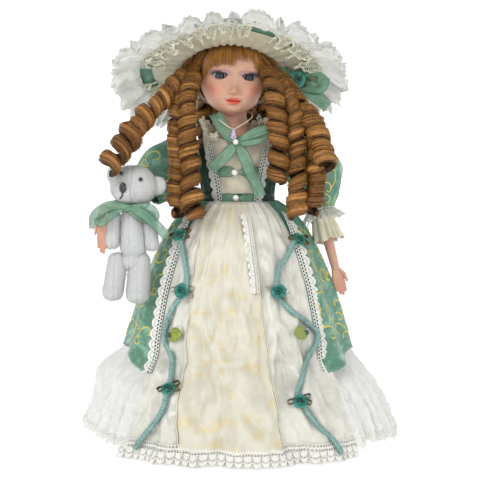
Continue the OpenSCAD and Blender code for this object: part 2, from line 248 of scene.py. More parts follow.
def painted(name, rough, **sockets):
    """Colour from the mesh's own painted attribute."""
    mat, tree, shader = principled(name, (0.8, 0.8, 0.8), rough, **sockets)
    attr = node(tree, "ShaderNodeVertexColor", layer_name="paint")
    tree.links.new(attr.outputs["Color"], shader.inputs["Base Color"])
    return mat, tree, shader


def bisque_material():
    mat, tree, shader = painted("bisque", 0.42, Subsurface_Weight=0.12, Subsurface_Scale=0.004,
                                Specular_IOR_Level=0.45, Coat_Weight=0.08, Coat_Roughness=0.3)
    grain = node(tree, "ShaderNodeTexNoise", Scale=2500.0, Detail=3.0)
    tree.links.new(coords(tree, (1, 1, 1), uv=False), grain.inputs["Vector"])
    add_bump(tree, shader, grain.outputs["Fac"], 0.06, 0.0001)
    return mat


def hair_material():
    mat, tree, shader = painted("hair", 0.42, Specular_IOR_Level=0.32)
    streak = node(tree, "ShaderNodeTexNoise", Scale=1400.0, Detail=2.0)
    tree.links.new(coords(tree, (1, 1, 1), uv=False), streak.inputs["Vector"])
    add_bump(tree, shader, streak.outputs["Fac"], 0.3, 0.0002)
    return mat


MAT = {
    "bisque": bisque_material(),
    "hair": hair_material(),
    "eye": painted("glass_eye", 0.05, Coat_Weight=0.25, Coat_Roughness=0.02, Specular_IOR_Level=0.4)[0],
    "lash": cloth("lash", (0.02, 0.012, 0.008), (0.04, 0.022, 0.014), 0.5, 8.0, 0.1),
    "brocade": brocade("green_brocade", (0.075, 0.205, 0.135), (0.115, 0.280, 0.190), (0.175, 0.370, 0.265),
                       0.36),
    "gold": cloth("gold_thread", (0.50, 0.40, 0.05), (0.82, 0.70, 0.16), 0.36, 6.0, 0.3, sheen=0.0,
                  scale=900.0, Metallic=0.35),
    "satin": cloth("ivory_satin", (0.54, 0.53, 0.465), (0.70, 0.69, 0.62), 0.30, 8.0, 0.05, scale=30.0,
                   Anisotropic=0.5, Specular_IOR_Level=0.6),
    "plastron": cloth("plastron_satin", (0.46, 0.42, 0.30), (0.62, 0.58, 0.46), 0.36, 8.0, 0.08, scale=60.0,
                      Anisotropic=0.4, Specular_IOR_Level=0.55),
    # Hat lining: the yellower cream is its own colour. Being darker than the gown's satin is painted shade under
    # the brim.
    "lining": cloth("hat_satin", (0.44, 0.41, 0.285), (0.60, 0.57, 0.43), 0.38, 8.0, 0.08, scale=40.0,
                    Anisotropic=0.4),
    "stripe": brocade("cream_brocade", (0.64, 0.615, 0.51), (0.61, 0.58, 0.47), (0.64, 0.56, 0.36), 0.32,
                      size=0.045),
    "white_cloth": cloth("cotton", (0.80, 0.80, 0.77), (0.88, 0.88, 0.86), 0.8, 5.0, 0.3),
    "linen": cloth("linen", (0.70, 0.64, 0.53), (0.80, 0.74, 0.64), 0.85, 3.0, 0.5),
    "organza": cloth("white_organza", (0.78, 0.785, 0.75), (0.86, 0.865, 0.84), 0.5, 6.0, 0.3, sheen=0.3,
                     Alpha=0.78),
    "lace": cloth("white_lace", (0.74, 0.73, 0.68), (0.84, 0.83, 0.79), 0.75, 4.0, 0.6, scale=500.0),
    "cream_lace": cloth("cream_lace", (0.82, 0.81, 0.60), (0.90, 0.88, 0.74), 0.7, 4.0, 0.6, scale=400.0),
    "cuff": cloth("cream_cuff", (0.60, 0.56, 0.41), (0.78, 0.74, 0.60), 0.65, 5.0, 0.4, scale=90.0),
    "green_organza": cloth("green_organza", (0.105, 0.24, 0.155), (0.19, 0.36, 0.24), 0.42, 5.0, 0.35,
                           sheen=0.6, scale=120.0, Alpha=0.84),
    # Dark green of the selvedges, lace backings, sash and knots. On the bodice it stands in for the green
    # brocade as painted shade.
    "dark_green": cloth("dark_green_lining", (0.015, 0.05, 0.038), (0.04, 0.10, 0.08), 0.55, 7.0, 0.3),
    "chenille": cloth("chenille", (0.12, 0.31, 0.28), (0.47, 0.70, 0.65), 0.85, 3.0, 0.4, sheen=0.6,
                      scale=700.0),
    "teal": cloth("teal_satin", (0.005, 0.085, 0.065), (0.040, 0.330, 0.260), 0.24, 8.0, 0.2, scale=300.0),
    "olive": cloth("olive_satin", (0.14, 0.19, 0.01), (0.30, 0.36, 0.05), 0.35, 8.0, 0.2, scale=300.0),
    "leaf": cloth("bronze_ribbon", (0.06, 0.04, 0.01), (0.22, 0.16, 0.04), 0.4, 6.0, 0.3, scale=400.0,
                  Metallic=0.3),
    "pearl": principled("pearl", (0.90, 0.88, 0.84), 0.16, Coat_Weight=0.8, Coat_Roughness=0.08,
                        Sheen_Weight=0.2)[0],
    "crystal": principled("crystal", (0.70, 0.60, 0.88), 0.06, Coat_Weight=0.6, Transmission_Weight=0.35)[0],
    "bead": principled("gilt_bead", (0.86, 0.76, 0.56), 0.2, Coat_Weight=0.5)[0],
    "plush": cloth("plush", (0.49, 0.50, 0.495), (0.61, 0.62, 0.61), 0.95, 1.8, 0.8, sheen=0.35, scale=700.0),
    "black": principled("black_bead", (0.012, 0.011, 0.011), 0.25, Coat_Weight=0.5)[0],
    "enamel": principled("white_enamel", (0.82, 0.82, 0.80), 0.3, Coat_Weight=0.4)[0],
    "steel": principled("steel", (0.62, 0.62, 0.63), 0.32, Metallic=0.9)[0],
    "card": cloth("card", (0.42, 0.31, 0.20), (0.58, 0.46, 0.32), 0.9, 2.0, 0.2),
    "leather": cloth("shoe_leather", (0.80, 0.78, 0.72), (0.88, 0.86, 0.81), 0.4, 2.0, 0.1),
}


def crumple(mat, scale, height):
    """Large soft puckers of a satin panel, as bump."""
    tree = mat.node_tree
    shader = next(n for n in tree.nodes if n.type == "BSDF_PRINCIPLED")
    puckers = node(tree, "ShaderNodeTexNoise", Scale=scale, Detail=1.5, Roughness=0.45, Distortion=0.7)
    tree.links.new(coords(tree, (1, 1, 0.6), uv=False), puckers.inputs["Vector"])
    add_bump(tree, shader, puckers.outputs["Fac"], 0.8, height)


crumple(MAT["satin"], 38.0, 0.008)
crumple(MAT["stripe"], 30.0, 0.006)
crumple(MAT["plastron"], 60.0, 0.004)
crumple(MAT["brocade"], 30.0, 0.004)

# ---------------------------------------------------------------- mesh helpers


def piece(name, verts, faces, mat, body, colors=None, uvs=None, flat=False):
    """A mesh piece from points in millimetres, riding on a body."""
    mesh = bpy.data.meshes.new(name)
    mesh.from_pydata([(x * MM, y * MM, z * MM) for x, y, z in verts], [], faces)
    mesh.materials.append(MAT[mat])
    if uvs:
        layer = mesh.uv_layers.new(name="UVMap")
        for loop in mesh.loops:
            layer.data[loop.index].uv = uvs[loop.vertex_index]
    if colors:
        layer = mesh.color_attributes.new("paint", "FLOAT_COLOR", "POINT")
        for i, c in enumerate(colors):
            layer.data[i].color = (*c, 1)
    mesh.polygons.foreach_set("use_smooth", [not flat] * len(mesh.polygons))
    mesh.update()
    obj = bpy.data.objects.new(name, mesh)
    bpy.context.scene.collection.objects.link(obj)
    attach(obj, body)
    return obj


def thicken(obj, mm, offset=0.0):
    mod = obj.modifiers.new("thickness", "SOLIDIFY")
    mod.thickness = mm * MM
    mod.offset = offset
    return obj


class Mesh:
    """Collects vertices, faces, colours and UVs of one piece."""

    def __init__(self):
        self.verts, self.faces, self.colors, self.uvs = [], [], [], []

    def grid(self, nu, nv, point, keep=None, wrap=False, color=None, uv=None):
        """Rows of points point(u, v), u and v from 0 to 1; keep(u, v) cuts cells out."""
        base = len(self.verts)
        cols = nu if wrap else nu + 1
        for i in range(cols):
            for j in range(nv + 1):
                u, v = i / nu, j / nv
                self.verts.append(tuple(point(u, v)))
                self.uvs.append(uv(u, v) if uv else (u, v))
                if color:
                    self.colors.append(color(u, v))
        for i in range(nu):
            for j in range(nv):
                if keep and not keep((i + 0.5) / nu, (j + 0.5) / nv):
                    continue
                a, b = base + i * (nv + 1) + j, base + ((i + 1) % cols) * (nv + 1) + j
                self.faces.append((a, b, b + 1, a + 1))
        return self

    def tube(self, points, radius, sides=6, color=None, lean=(0, -1, 0.3)):
        """Closed tube; radius(t) with t from 0 to 1."""
        base = len(self.verts)
        last = len(points) - 1
        for i, (p, _, side, out) in enumerate(frames_along(points, lean)):
            r = radius(i / last) if callable(radius) else radius
            for k in range(sides):
                a = TAU * k / sides
                self.verts.append(tuple(p + side * (r * cos(a)) + out * (r * sin(a))))
                self.uvs.append((k / sides * 6, i * 0.7))
                if color:
                    self.colors.append(color)
        for i in range(last):
            for k in range(sides):
                a, b = base + i * sides + k, base + i * sides + (k + 1) % sides
                self.faces.append((a, b, b + sides, a + sides))
        self.faces.append(tuple(base + k for k in reversed(range(sides))))
        self.faces.append(tuple(base + last * sides + k for k in range(sides)))
        return self

    def ball(self, centre, radii, nu=16, nv=10, color=None, turn=None):
        base = len(self.verts)
        for j in range(nv + 1):
            e = pi * (j / nv - 0.5)
            for i in range(nu):
                a = TAU * i / nu
                p = Vector((radii[0] * cos(e) * cos(a), radii[1] * cos(e) * sin(a),
                            radii[2] * sin(e)))
                self.verts.append(tuple(Vector(centre) + (turn @ p if turn else p)))
                self.uvs.append((i / nu * 10, j / nv * 10))
                if color:
                    self.colors.append(color)
        for j in range(nv):
            for i in range(nu):
                a, b = base + j * nu + i, base + j * nu + (i + 1) % nu
                self.faces.append((a, b, b + nu, a + nu))
        return self

    def make(self, name, mat, body, slot=None, flat=False, tidy=True):
        obj = piece(name, self.verts, self.faces, mat, body, self.colors or None, self.uvs, flat)
        if tidy:
            edit = bmesh.new()
            edit.from_mesh(obj.data)
            bmesh.ops.delete(edit, geom=[v for v in edit.verts if not v.link_faces], context="VERTS")
            edit.to_mesh(obj.data)
            edit.free()
        return obj


def soften_edges(obj, times=2):
    """Rounds the stepped outline that cutting cells out leaves."""
    edit = bmesh.new()
    edit.from_mesh(obj.data)
    for _ in range(times):
        rim = [v for v in edit.verts if v.is_boundary]
        moved = {}
        for v in rim:
            near = [e.other_vert(v).co for e in v.link_edges if e.is_boundary]
            if len(near) == 2:
                moved[v] = v.co * 0.4 + (near[0] + near[1]) * 0.3
        for v, co in moved.items():
            v.co = co
    edit.to_mesh(obj.data)
    edit.free()
    return obj


def fused(name, parts, voxel, mat, body, slot=None, relax=3):
    """One closed mesh from overlapping balls and limbs: (centre, radii) or (a, b, ra, rb)."""
    shape = Mesh()
    for part in parts:
        if len(part) == 2:
            shape.ball(part[0], part[1], 28, 18)
            continue
        a, b, ra, rb = Vector(part[0]), Vector(part[1]), part[2], part[3]
        shape.ball(a, (ra,) * 3, 20, 12)
        shape.ball(b, (rb,) * 3, 20, 12)
        steps = max(2, int((b - a).length / 2))
        shape.tube([a.lerp(b, t / steps) for t in range(steps + 1)], lambda t: mix(ra, rb, t), 20,
                   lean=(0.31, -0.9, 0.21))
    obj = shape.make(name, mat, body, slot)
    remesh = obj.modifiers.new("fuse", "REMESH")
    remesh.mode = "VOXEL"
    remesh.voxel_size = voxel * MM
    relaxing = obj.modifiers.new("relax", "SMOOTH")
    relaxing.iterations = relax
    relaxing.factor = 0.6
    bake_modifiers(obj)
    return obj


def bake_modifiers(obj):
    """Replaces the mesh by what its modifiers make of it."""
    graph = bpy.context.evaluated_depsgraph_get()
    made = bpy.data.meshes.new_from_object(obj.evaluated_get(graph))
    mats = list(obj.data.materials)
    obj.modifiers.clear()
    obj.data = made
    if not made.materials:
        for m in mats:
            made.materials.append(m)
    made.polygons.foreach_set("use_smooth", [True] * len(made.polygons))


def paint(obj, rule):
    """Colours every vertex by rule(x, y, z) in millimetres."""
    mesh = obj.data
    layer = mesh.color_attributes.get("paint") or mesh.color_attributes.new("paint", "FLOAT_COLOR", "POINT")
    for v in mesh.vertices:
        layer.data[v.index].color = (*rule(v.co.x / MM, v.co.y / MM, v.co.z / MM), 1)


def blend_color(a, b, t):
    return tuple(mix(p, q, clamp(t)) for p, q in zip(a, b))


# ---------------------------------------------------------------- camera, light and floor

CAMERA_LENS_MM = 108.3
CAMERA_AT = (0.0019, -1.360, 0.273)
CAMERA_DOWN_DEG = 3.58
SKY_STRENGTH = 0.58
# name, place in metres, size in metres, power in watts
LAMPS = (("key", (-0.8, -1.3, 1.4), 0.7, 12.0), ("fill", (1.2, -1.2, 0.6), 1.0, 3.2),
         ("back", (0.4, 1.2, 1.4), 0.9, 4))
LAMP_AIM = Vector((0, 0, 0.2))
FLOOR_HALF_M, WALL_RADIUS_M, WALL_TOP_M, WALL_SIDES = 6.0, 5.9, 2.2, 64

def glowing(name, verts, faces, grey, glow):
    """Studio paper, in metres: a little light of its own keeps the background white."""
    mesh = bpy.data.meshes.new(name)
    mesh.from_pydata(verts, [], faces)
    mat, _, _ = principled(name, (grey, grey, grey), 0.9, Emission_Color=(1, 1, 1, 1), Emission_Strength=glow)
    mesh.materials.append(mat)
    obj = bpy.data.objects.new(name, mesh)
    bpy.context.scene.collection.objects.link(obj)
    return obj


def stage():
    cam = bpy.data.cameras.new("camera")
    cam.lens = CAMERA_LENS_MM
    cam.sensor_width = 36
    view = bpy.data.objects.new("camera", cam)
    view.location = CAMERA_AT
    view.rotation_euler = (radians(90 - CAMERA_DOWN_DEG), 0, 0)
    bpy.context.scene.collection.objects.link(view)
    bpy.context.scene.camera = view
    bpy.context.scene.view_settings.view_transform = "Standard"

    world = bpy.data.worlds.new("studio")
    bpy.context.scene.world = world
    world.use_nodes = True
    world.node_tree.nodes["Background"].inputs["Color"].default_value = (1, 1, 1, 1)
    world.node_tree.nodes["Background"].inputs["Strength"].default_value = SKY_STRENGTH
    for name, at, size, power in LAMPS:
        data = bpy.data.lights.new(name, "AREA")
        data.size = size
        data.energy = power
        lamp = bpy.data.objects.new(name, data)
        lamp.location = at
        lamp.rotation_euler = (LAMP_AIM - Vector(at)).to_track_quat("-Z", "Y").to_euler()
        bpy.context.scene.collection.objects.link(lamp)

    half = FLOOR_HALF_M
    corners = [(-half, -half, 0), (half, -half, 0), (half, half, 0), (-half, half, 0)]
    floor = glowing("floor", corners, [(0, 1, 2, 3)], 0.45, 0.78)
    sides = WALL_SIDES
    ring = [(WALL_RADIUS_M * cos(TAU * k / sides), WALL_RADIUS_M * sin(TAU * k / sides), z)
            for z in (-0.01, WALL_TOP_M) for k in range(sides)]
    panels = [(k, (k + 1) % sides, (k + 1) % sides + sides, k + sides) for k in range(sides)]
    wall = glowing("wall", ring, panels, 0.5, 0.95)


stage()

# ---------------------------------------------------------------- the gown's shape

HEM_Z, WAIST_Z, OVER_Z = 2.5, 226.0, 88.0
PANEL = 45.0  # half of the front panel's angle
BELL = [(226, 33), (222, 43), (212, 55), (198, 66), (180, 76), (152, 87), (131, 93), (114, 98), (88, 105),
        (74, 116), (57, 127), (34, 137), (5, 146)]


def bell(z):
    """The skirts' mean radius at a height, eased between the outline's points."""
    return (table(z - 5, BELL) + 2 * table(z, BELL) + table(z + 5, BELL)) / 4


def from_front(a):
    return abs((a + 180) % 360 - 180)


def folds(a, z):
    """How far the cloth stands out from the bell at angle a (degrees) and height z."""
    low = smooth(WAIST_Z - z, 0, 150)
    away = smooth(abs(from_front(a) - PANEL), 0, 8)
    gather = 1.2 * sin(radians(a) * 44 + 1.3 * sin(a * 0.11)) * smooth(z, 165, 224)
    if from_front(a) < PANEL:
        soft = 3.0 * sin(a * 0.21 + 0.4 + z * 0.014) + 2.0 * sin(a * 0.47 + 1.7 - z * 0.021)
        soft += 7.5 * wobble(a * 0.05, z * 0.022, 3.1) + 5.8 * wobble(a * 0.13, z * 0.05, 6.6)
        soft += 4.0 * wobble(a * 0.30, z * 0.075, 2.2)
        crease = 1.4 * bump(z, 85 + 2.5 * sin(a * 0.15), 2.4)
        return (0.7 * gather + soft * (0.3 + 0.7 * low) - crease) * away
    wave = sin(radians(a) * 15 + 1.1 * sin(radians(a) * 3 + 1) + z * 0.006)
    return (gather + (0.7 + 2.6 * low) * wave + 2.5 * wobble(a * 0.05, z * 0.015, 7.7)) * away


def gown(a, z, out=0.0):
    """A point on the gown, a degrees round from the front."""
    r = bell(z) + folds(a, z) + out
    return Vector((r * sin(radians(a)), -r * cos(radians(a)), z))


def skirt_sheet(name, a0, a1, top, bottom, mat, replaces, nu, nv, out=0.0):
    """Cloth over the gown's surface; a0 and a1 may be rules of the height, bottom a rule of the angle."""
    def at(u, v):
        low = bottom(mix(a0(100), a1(100), u)) if callable(bottom) else bottom
        z = mix(top, low, v)
        return gown(mix(a0(z), a1(z), u), z, out)

    span = radians(a1(100) - a0(100)) * 90
    sheet = Mesh().grid(nu, nv, at, uv=lambda u, v: (span * u, 220 * v))
    obj = thicken(sheet.make(name, mat, "doll"), 0.7, 0)
    if replaces:
        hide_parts(replaces)
    return obj


STRIPE_LEFT = [(215, 11), (180, 12), (140, 13), (90, 14), (50, 15), (18, 15.5)]
STRIPE_RIGHT = [(215, -31), (180, -28), (140, -26.5), (90, -24.5), (50, -22.5), (18, -21)]


def over_hem(a):
    return OVER_Z - 13 * smooth(PANEL + 34 - from_front(a), 0, 34) + 0.8 * sin(radians(a) * 15)


def skirts():
    front = skirt_sheet("skirt_front_satin", lambda z: -PANEL - 2, lambda z: PANEL + 2, 225, HEM_Z, "satin",
                        "skirt_front", 260, 170)
    stripe = skirt_sheet("skirt_front_stripe", lambda z: table(z, STRIPE_RIGHT),
                         lambda z: table(z, STRIPE_LEFT), 224, 14, "stripe", None, 130, 150, out=1.5)
    over = skirt_sheet("overskirt_brocade", lambda z: PANEL - 1, lambda z: 361 - PANEL, 225, over_hem,
                       "brocade", "overskirt", 500, 88, out=0.3)
    under = Mesh().grid(180, 40, lambda u, v: under_point(360 * u, mix(223, 12, v)), wrap=True,
                        uv=lambda u, v: (u * 600, v * 220)).make(
                            "petticoat_cotton", "white_cloth", "doll", "cotton")
    thicken(under, 0.5)
    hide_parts("petticoat")


def under_point(a, z):
    r = bell(z) - 9.0 + 1.2 * sin(radians(a) * 20) * smooth(200 - z, 0, 150)
    r -= 7.0 * (1 - smooth(from_front(a), PANEL, PANEL + 10)) * smooth(WAIST_Z - z, 0, 90)
    return (r * sin(radians(a)), -r * cos(radians(a)), z)


RUFFLE_FOLDS = 46


def ruffle_depth(a, z):
    """Radial displacement of the organza flounce: tight at its seam, loose at its hem."""
    down = clamp((OVER_Z - z) / OVER_Z)
    swing = radians(a) * RUFFLE_FOLDS + 2.2 * wobble(a * 0.09, z * 0.01, 1.7)
    deep = 1.0 + 6.0 * down
    fold = sin(swing) + 0.35 * sin(2 * swing + 0.8)
    crush = 2.2 * wobble(a * 0.55, z * 0.16, 5.5) + 1.3 * wobble(a * 1.3, z * 0.35, 8.1)
    belly = 12.0 * bump(a, 275, 28) * bump(z, 70, 17) - 6.0 * bump(a, 275, 34) * smooth(30 - z, -20, 25)
    return (deep * 0.8 * fold + 4.5 * down * wobble(a * 0.07, z * 0.03, 9.3) + 1.5 * down
            + crush * smooth(down, 0, 0.2) + belly)


def flounce_point(a, z):
    lift = (4.0 * wobble(a * 0.05, 0.0, 4.2) + 5.0 * bump(from_front(a), 52, 16)
            + 10.0 * bump(a, 272, 24) + 3.0)
    low = z + max(0.0, lift) * smooth(OVER_Z - z, 20, 86)
    r = bell(z) + ruffle_depth(a, z) - 1.5
    r -= 6.0 * smooth(low, 60, 78) * (1 - smooth(from_front(a), PANEL + 22, PANEL + 46))
    return (r * sin(radians(a)), -r * cos(radians(a)), low)


def flounce():
    a0, a1 = PANEL - 4, 364 - PANEL
    top, bottom = OVER_Z + 1, 5.0
    sheet = Mesh().grid(1500, 64, lambda u, v: flounce_point(mix(a0, a1, u), mix(top, bottom, v)),
                        uv=lambda u, v: (u * 1400, v * 90))
    obj = sheet.make("flounce_organza", "organza", "doll", "white_organza")
    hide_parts("flounce")
    trim = Mesh().grid(2600, 10, lambda u, v: Vector(flounce_point(mix(a0, a1, u), mix(13, 3.2, v))) * 1.004,
                       keep=lambda u, v: lace_mask(u * 1400, v * 10, 10, 9),
                       uv=lambda u, v: (u * 1400, v * 10))
    soften_edges(trim.make("flounce_lace", "lace", "doll", "white_lace"), 1)


# ---------------------------------------------------------------- lace

def lace_mask(s, t, width, pitch):
    """True where thread is: a band with rows of eyelets, then scallops, over t from 0 to width."""
    scallop = width * (0.66 + 0.34 * abs(sin(pi * s / pitch)) ** 0.6)
    if t > scallop:
        return False
    band = 0.46 * width
    if t < band:
        step = pitch / 3
        row = int(t / (band / 2))
        across = (t - (row + 0.5) * band / 2) / (0.37 * band / 2)
        along = (((s + 0.5 * step * (row % 2)) / step) % 1.0 - 0.5) / 0.37
        return abs(across) ** 2.5 + abs(along) ** 2.5 > 1
    cell = ((s / pitch) % 1.0 - 0.5) * pitch
    fan = hypot(cell, t - 0.52 * width)
    petal = degrees(atan2(t - 0.52 * width, cell)) / 22.5
    return not (0.17 * width < fan < 0.27 * width and 0.25 < petal % 1.0 < 0.75)


def lace_strip(name, route, width, pitch, place, flip, cell, backing=None):
    """Lace along a route of (a, z) on a surface; place(a, z, out) gives points in space."""
    pts = curve_through([place(a, z, 0.0) for a, z in curve_2d(route, 60)], 240)
    total = sum((b - a).length for a, b in zip(pts, pts[1:]))
    nu, nv = int(total / cell), int(width / cell)
    rows = frames_along(curve_through(pts, nu + 1), lambda i: (0, -1, 0))
    facing = [Vector((p.x, p.y, 0)).normalized() for p, _, _, _ in rows]

    def at(u, v, out=1.9):
        i = min(int(round(u * nu)), nu)
        p, t, _, _ = rows[i]
        side = facing[i].cross(t).normalized() * flip
        return p + side * (v * width) + facing[i] * (out - 0.2 * v + 0.3 * sin(u * total * 0.9) * v * v)

    shape = Mesh().grid(nu, nv, at, keep=lambda u, v: lace_mask(u * total, v * width, width, pitch),
                        uv=lambda u, v: (u * total, v * width))
    lace = thicken(soften_edges(shape.make(name, "lace", "doll", "white_lace"), 1), 0.4)
    if backing:
        band = Mesh().grid(nu // 3, 4, lambda u, v: at(u, 0.03 + 0.42 * v, 1.35),
                           uv=lambda u, v: (u * total, v * width))
        thicken(band.make(f"{name}_backing", backing, "doll", "green_brocade"), 0.3)
    return lace


def curve_2d(route, count):
    return [(p.x, p.y) for p in curve_through([(a, z, 0) for a, z in route], count)]


def gown_laces():
    def raised(a, z, out=0.0):
        return gown(a, z, out + 3.0 * smooth(z, 178, 208))

    seam = [(50, 216), (47, 204), (46, 190), (46.5, 170), (47, 140), (46.5, 110), (45.5, 92), (44, 76)]
    for side, tag in ((1, "left"), (-1, "right")):
        route = [(side * (a - 3.0), z) for a, z in seam]
        lace_strip(f"seam_lace_{tag}", route, 13.5, 9.5, raised, side, 0.34, "dark_green")
    upper = [(table(z, STRIPE_LEFT), z) for z in (215, 198, 180, 162, 146)]
    lace_strip("stripe_lace_left", upper, 9.0, 7.0, lambda a, z, out=0.0: gown(a, z, out + 3.0), -1, 0.34)
    cord = Mesh()
    for route in (STRIPE_RIGHT, STRIPE_LEFT):
        for shift in (-0.45, 0.45):
            cord.tube([gown(table(z, route) + shift, z, 1.9 + 0.35 * sin(z * 1.9 + shift)) for z in
                       [mix(214, 20, k / 150) for k in range(151)]], 0.55, 7)
    cord.make("stripe_cords", "cuff", "doll", "white_lace")

    def hem(u, v):
        a = mix(-PANEL - 1, PANEL + 1, u)
        return gown(a, mix(20, 3.4, v), 1.6 + 0.8 * v)

    span = radians(2 * PANEL + 2) * 146
    hem_lace = Mesh().grid(700, 52, hem, keep=lambda u, v: lace_mask(u * span, v * 17.5, 17.5, 7.6),
                           uv=lambda u, v: (u * span, v * 17.5))
    obj = thicken(soften_edges(hem_lace.make("hem_lace_scallops", "lace", "doll", "white_lace")), 0.35)
    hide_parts("hem_lace")
    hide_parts("panel_lace")


# ---------------------------------------------------------------- gold figure in the brocade

def spiral(centre, size, turn, hand):
    """Points of a curled tendril in the cloth's own plane."""
    pts = []
    for i in range(26):
        t = i / 25
        a = turn + hand * (0.2 + 4.6 * t)
        r = size * (1 - 0.82 * t)
        pts.append((centre[0] + r * cos(a), centre[1] + r * sin(a)))
    return pts


def gold_figure(rng, width, height, step):
    """Curves of a scattered scroll pattern over a width by height cloth."""
    curves = []
    rows = int(height / step) + 1
    for row in range(rows):
        for col in range(int(width / step)):
            x = (col + 0.5 * (row % 2)) * step + rng.uniform(-3, 3)
            y = row * step + rng.uniform(-3, 3)
            hand = 1 if (row + col) % 2 else -1
            turn = rng.uniform(0, TAU)
            size = step * rng.uniform(0.36, 0.46)
            curves.append(spiral((x, y), size, turn, hand))
            curves.append(spiral((x + size * 1.1 * cos(turn), y + size * 1.1 * sin(turn)),
                                 size * 0.55, turn + 2.2, -hand))
    return curves


def gold_lines(name, curves, place, inside, body, width=1.15):
    """Flat metallic threads laid on a surface; place(x, y) gives a point and its outward normal."""
    shape = Mesh()
    for line in curves:
        run = []
        for x, y in line:
            if inside(x, y):
                run.append((x, y))
                continue
            add_thread(shape, run, place, width)
            run = []
        add_thread(shape, run, place, width)
    return shape.make(name, "gold", body, "green_brocade")


def add_thread(shape, run, place, width):
    if len(run) < 4:
        return
    base = len(shape.verts)
    spots = [place(x, y) for x, y in run]
    for i, (p, n) in enumerate(spots):
        t = (spots[min(i + 1, len(spots) - 1)][0] - spots[max(i - 1, 0)][0]).normalized()
        side = t.cross(n).normalized() * (width / 2)
        for s, lift in ((-1, 0.75), (0, 1.1), (1, 0.75)):
            shape.verts.append(tuple(p + side * s + n * lift))
            shape.uvs.append((s, i))
    for i in range(len(spots) - 1):
        for k in (0, 1):
            a = base + i * 3 + k
            shape.faces.append((a, a + 1, a + 4, a + 3))


# ---------------------------------------------------------------- head

YAW, ROLL = radians(4.5), radians(3.5)
FACE_TURN = Matrix.Rotation(YAW, 3, "Z") @ Matrix.Rotation(ROLL, 3, "Y")
FACE_AT = Vector((-5, 2, 339.5))
HALF_WIDE = [(36, 2), (34, 12), (30, 19), (24, 25.5), (14, 30.2), (6, 31.4), (-4, 31.3), (-9, 30.5),
             (-14, 28.8), (-21, 24.8), (-25, 21), (-28, 17.3), (-32, 10.5), (-34.5, 5), (-35.5, 1)]
FRONT = [(36, 3), (34, 12), (30, 19), (24, 25), (14, 29.2), (6, 29.4), (0, 28), (-8, 27.2), (-14, 27.4),
         (-20, 28.2), (-27, 27.4), (-31, 25), (-34, 19), (-35.5, 12)]
REAR = [(36, 3), (34, 12), (30, 19), (24, 26), (10, 31), (0, 30), (-12, 22), (-21, 14), (-28, 6), (-35.5, -4)]
EYE_U, EYE_LONG, EYE_HIGH = 13.7, 6.4, 3.3


def face_world(u, f, w):
    return FACE_AT + FACE_TURN @ Vector((u, -f, w))


def even(w, rows):
    return (table(w - 1.5, rows) + table(w + 1.5, rows) + 2 * table(w, rows)) / 4


def eye_inside(u, w):
    """Below 1 inside the almond of the eye opening."""
    x = (abs(u) - EYE_U) / EYE_LONG
    y = (w - 0.4 - 0.9 * x * x) / (EYE_HIGH if w > 0.4 else 0.78 * EYE_HIGH)
    return abs(x) ** 2.2 + abs(y) ** (1.7)


def spot(u, w, cu, cw, su, sw):
    return exp(-((u - cu) / su) ** 2 - ((w - cw) / sw) ** 2)


def face_relief(u, w):
    """How far the features stand out of the plain oval, in millimetres."""
    m = abs(u)
    d = 0.6 * spot(u, w, 0, 1, 3.6, 7) + 1.3 * spot(u, w, 0, -6, 3.6, 5.5)
    d += 4.0 * spot(u, w, 0, -12.2, 4.3, 4.6) + 0.9 * spot(u, w, 0, -12.8, 2.8, 2.8)
    d += 1.3 * spot(m, w, 4.0, -13.8, 2.4, 2.2)
    d -= 0.6 * spot(m, w, 2.1, -16.0, 1.0, 0.9)
    d -= 2.6 * spot(m, w, EYE_U, 0.8, 8.5, 6.0)
    d += 0.9 * spot(m, w, EYE_U, 9.5, 10, 3.2)
    d += 2.3 * spot(m, w, 17.0, -13.5, 9.5, 9.0)
    d -= 0.7 * spot(u, w, 0, -18.4, 1.4, 1.6)
    d += 1.8 * spot(m, w, 2.2, -20.5, 3.0, 1.3) - 0.35 * spot(u, w, 0, -19.4, 1.1, 0.8)
    d += 2.2 * spot(u, w, 0, -23.9, 4.2, 1.6)
    d -= 1.3 * exp(-(m / 7.4) ** 6) * bump(w, -22.1 + 0.012 * u * u, 0.6)
    d -= 0.9 * spot(m, w, 8.6, -21.4, 1.8, 2.0)
    d -= 1.1 * spot(u, w, 0, -26.8, 5.0, 1.4)
    d += 2.2 * spot(u, w, 0, -31.0, 6.0, 3.4)
    e = eye_inside(u, w)
    d += 0.75 * exp(-((e - 1.45) / 0.42) ** 2)
    d -= 0.5 * exp(-((e - 2.5) / 0.5) ** 2) * smooth(w, 1, 3)
    return d - 6.0 * (1 - smooth(e, 0.78, 1.06))


SKIN, BLUSH = (0.640, 0.370, 0.262), (0.60, 0.205, 0.130)
LIP, LIP_DARK = (0.68, 0.110, 0.065), (0.34, 0.035, 0.02)
SHADOW, BROW, LID = (0.34, 0.22, 0.28), (0.24, 0.105, 0.045), (0.05, 0.018, 0.012)


def lips(u, w):
    m = abs(u)
    top = -19.7 + 0.9 * bump(m, 2.2, 1.5) - 0.036 * m * m
    low = -25.3 + 0.064 * m * m
    return smooth(top - w, -0.4, 0.4) * smooth(w - low, -0.4, 0.4) * (1 - 0.8 * smooth(m, 5.5, 8.5))


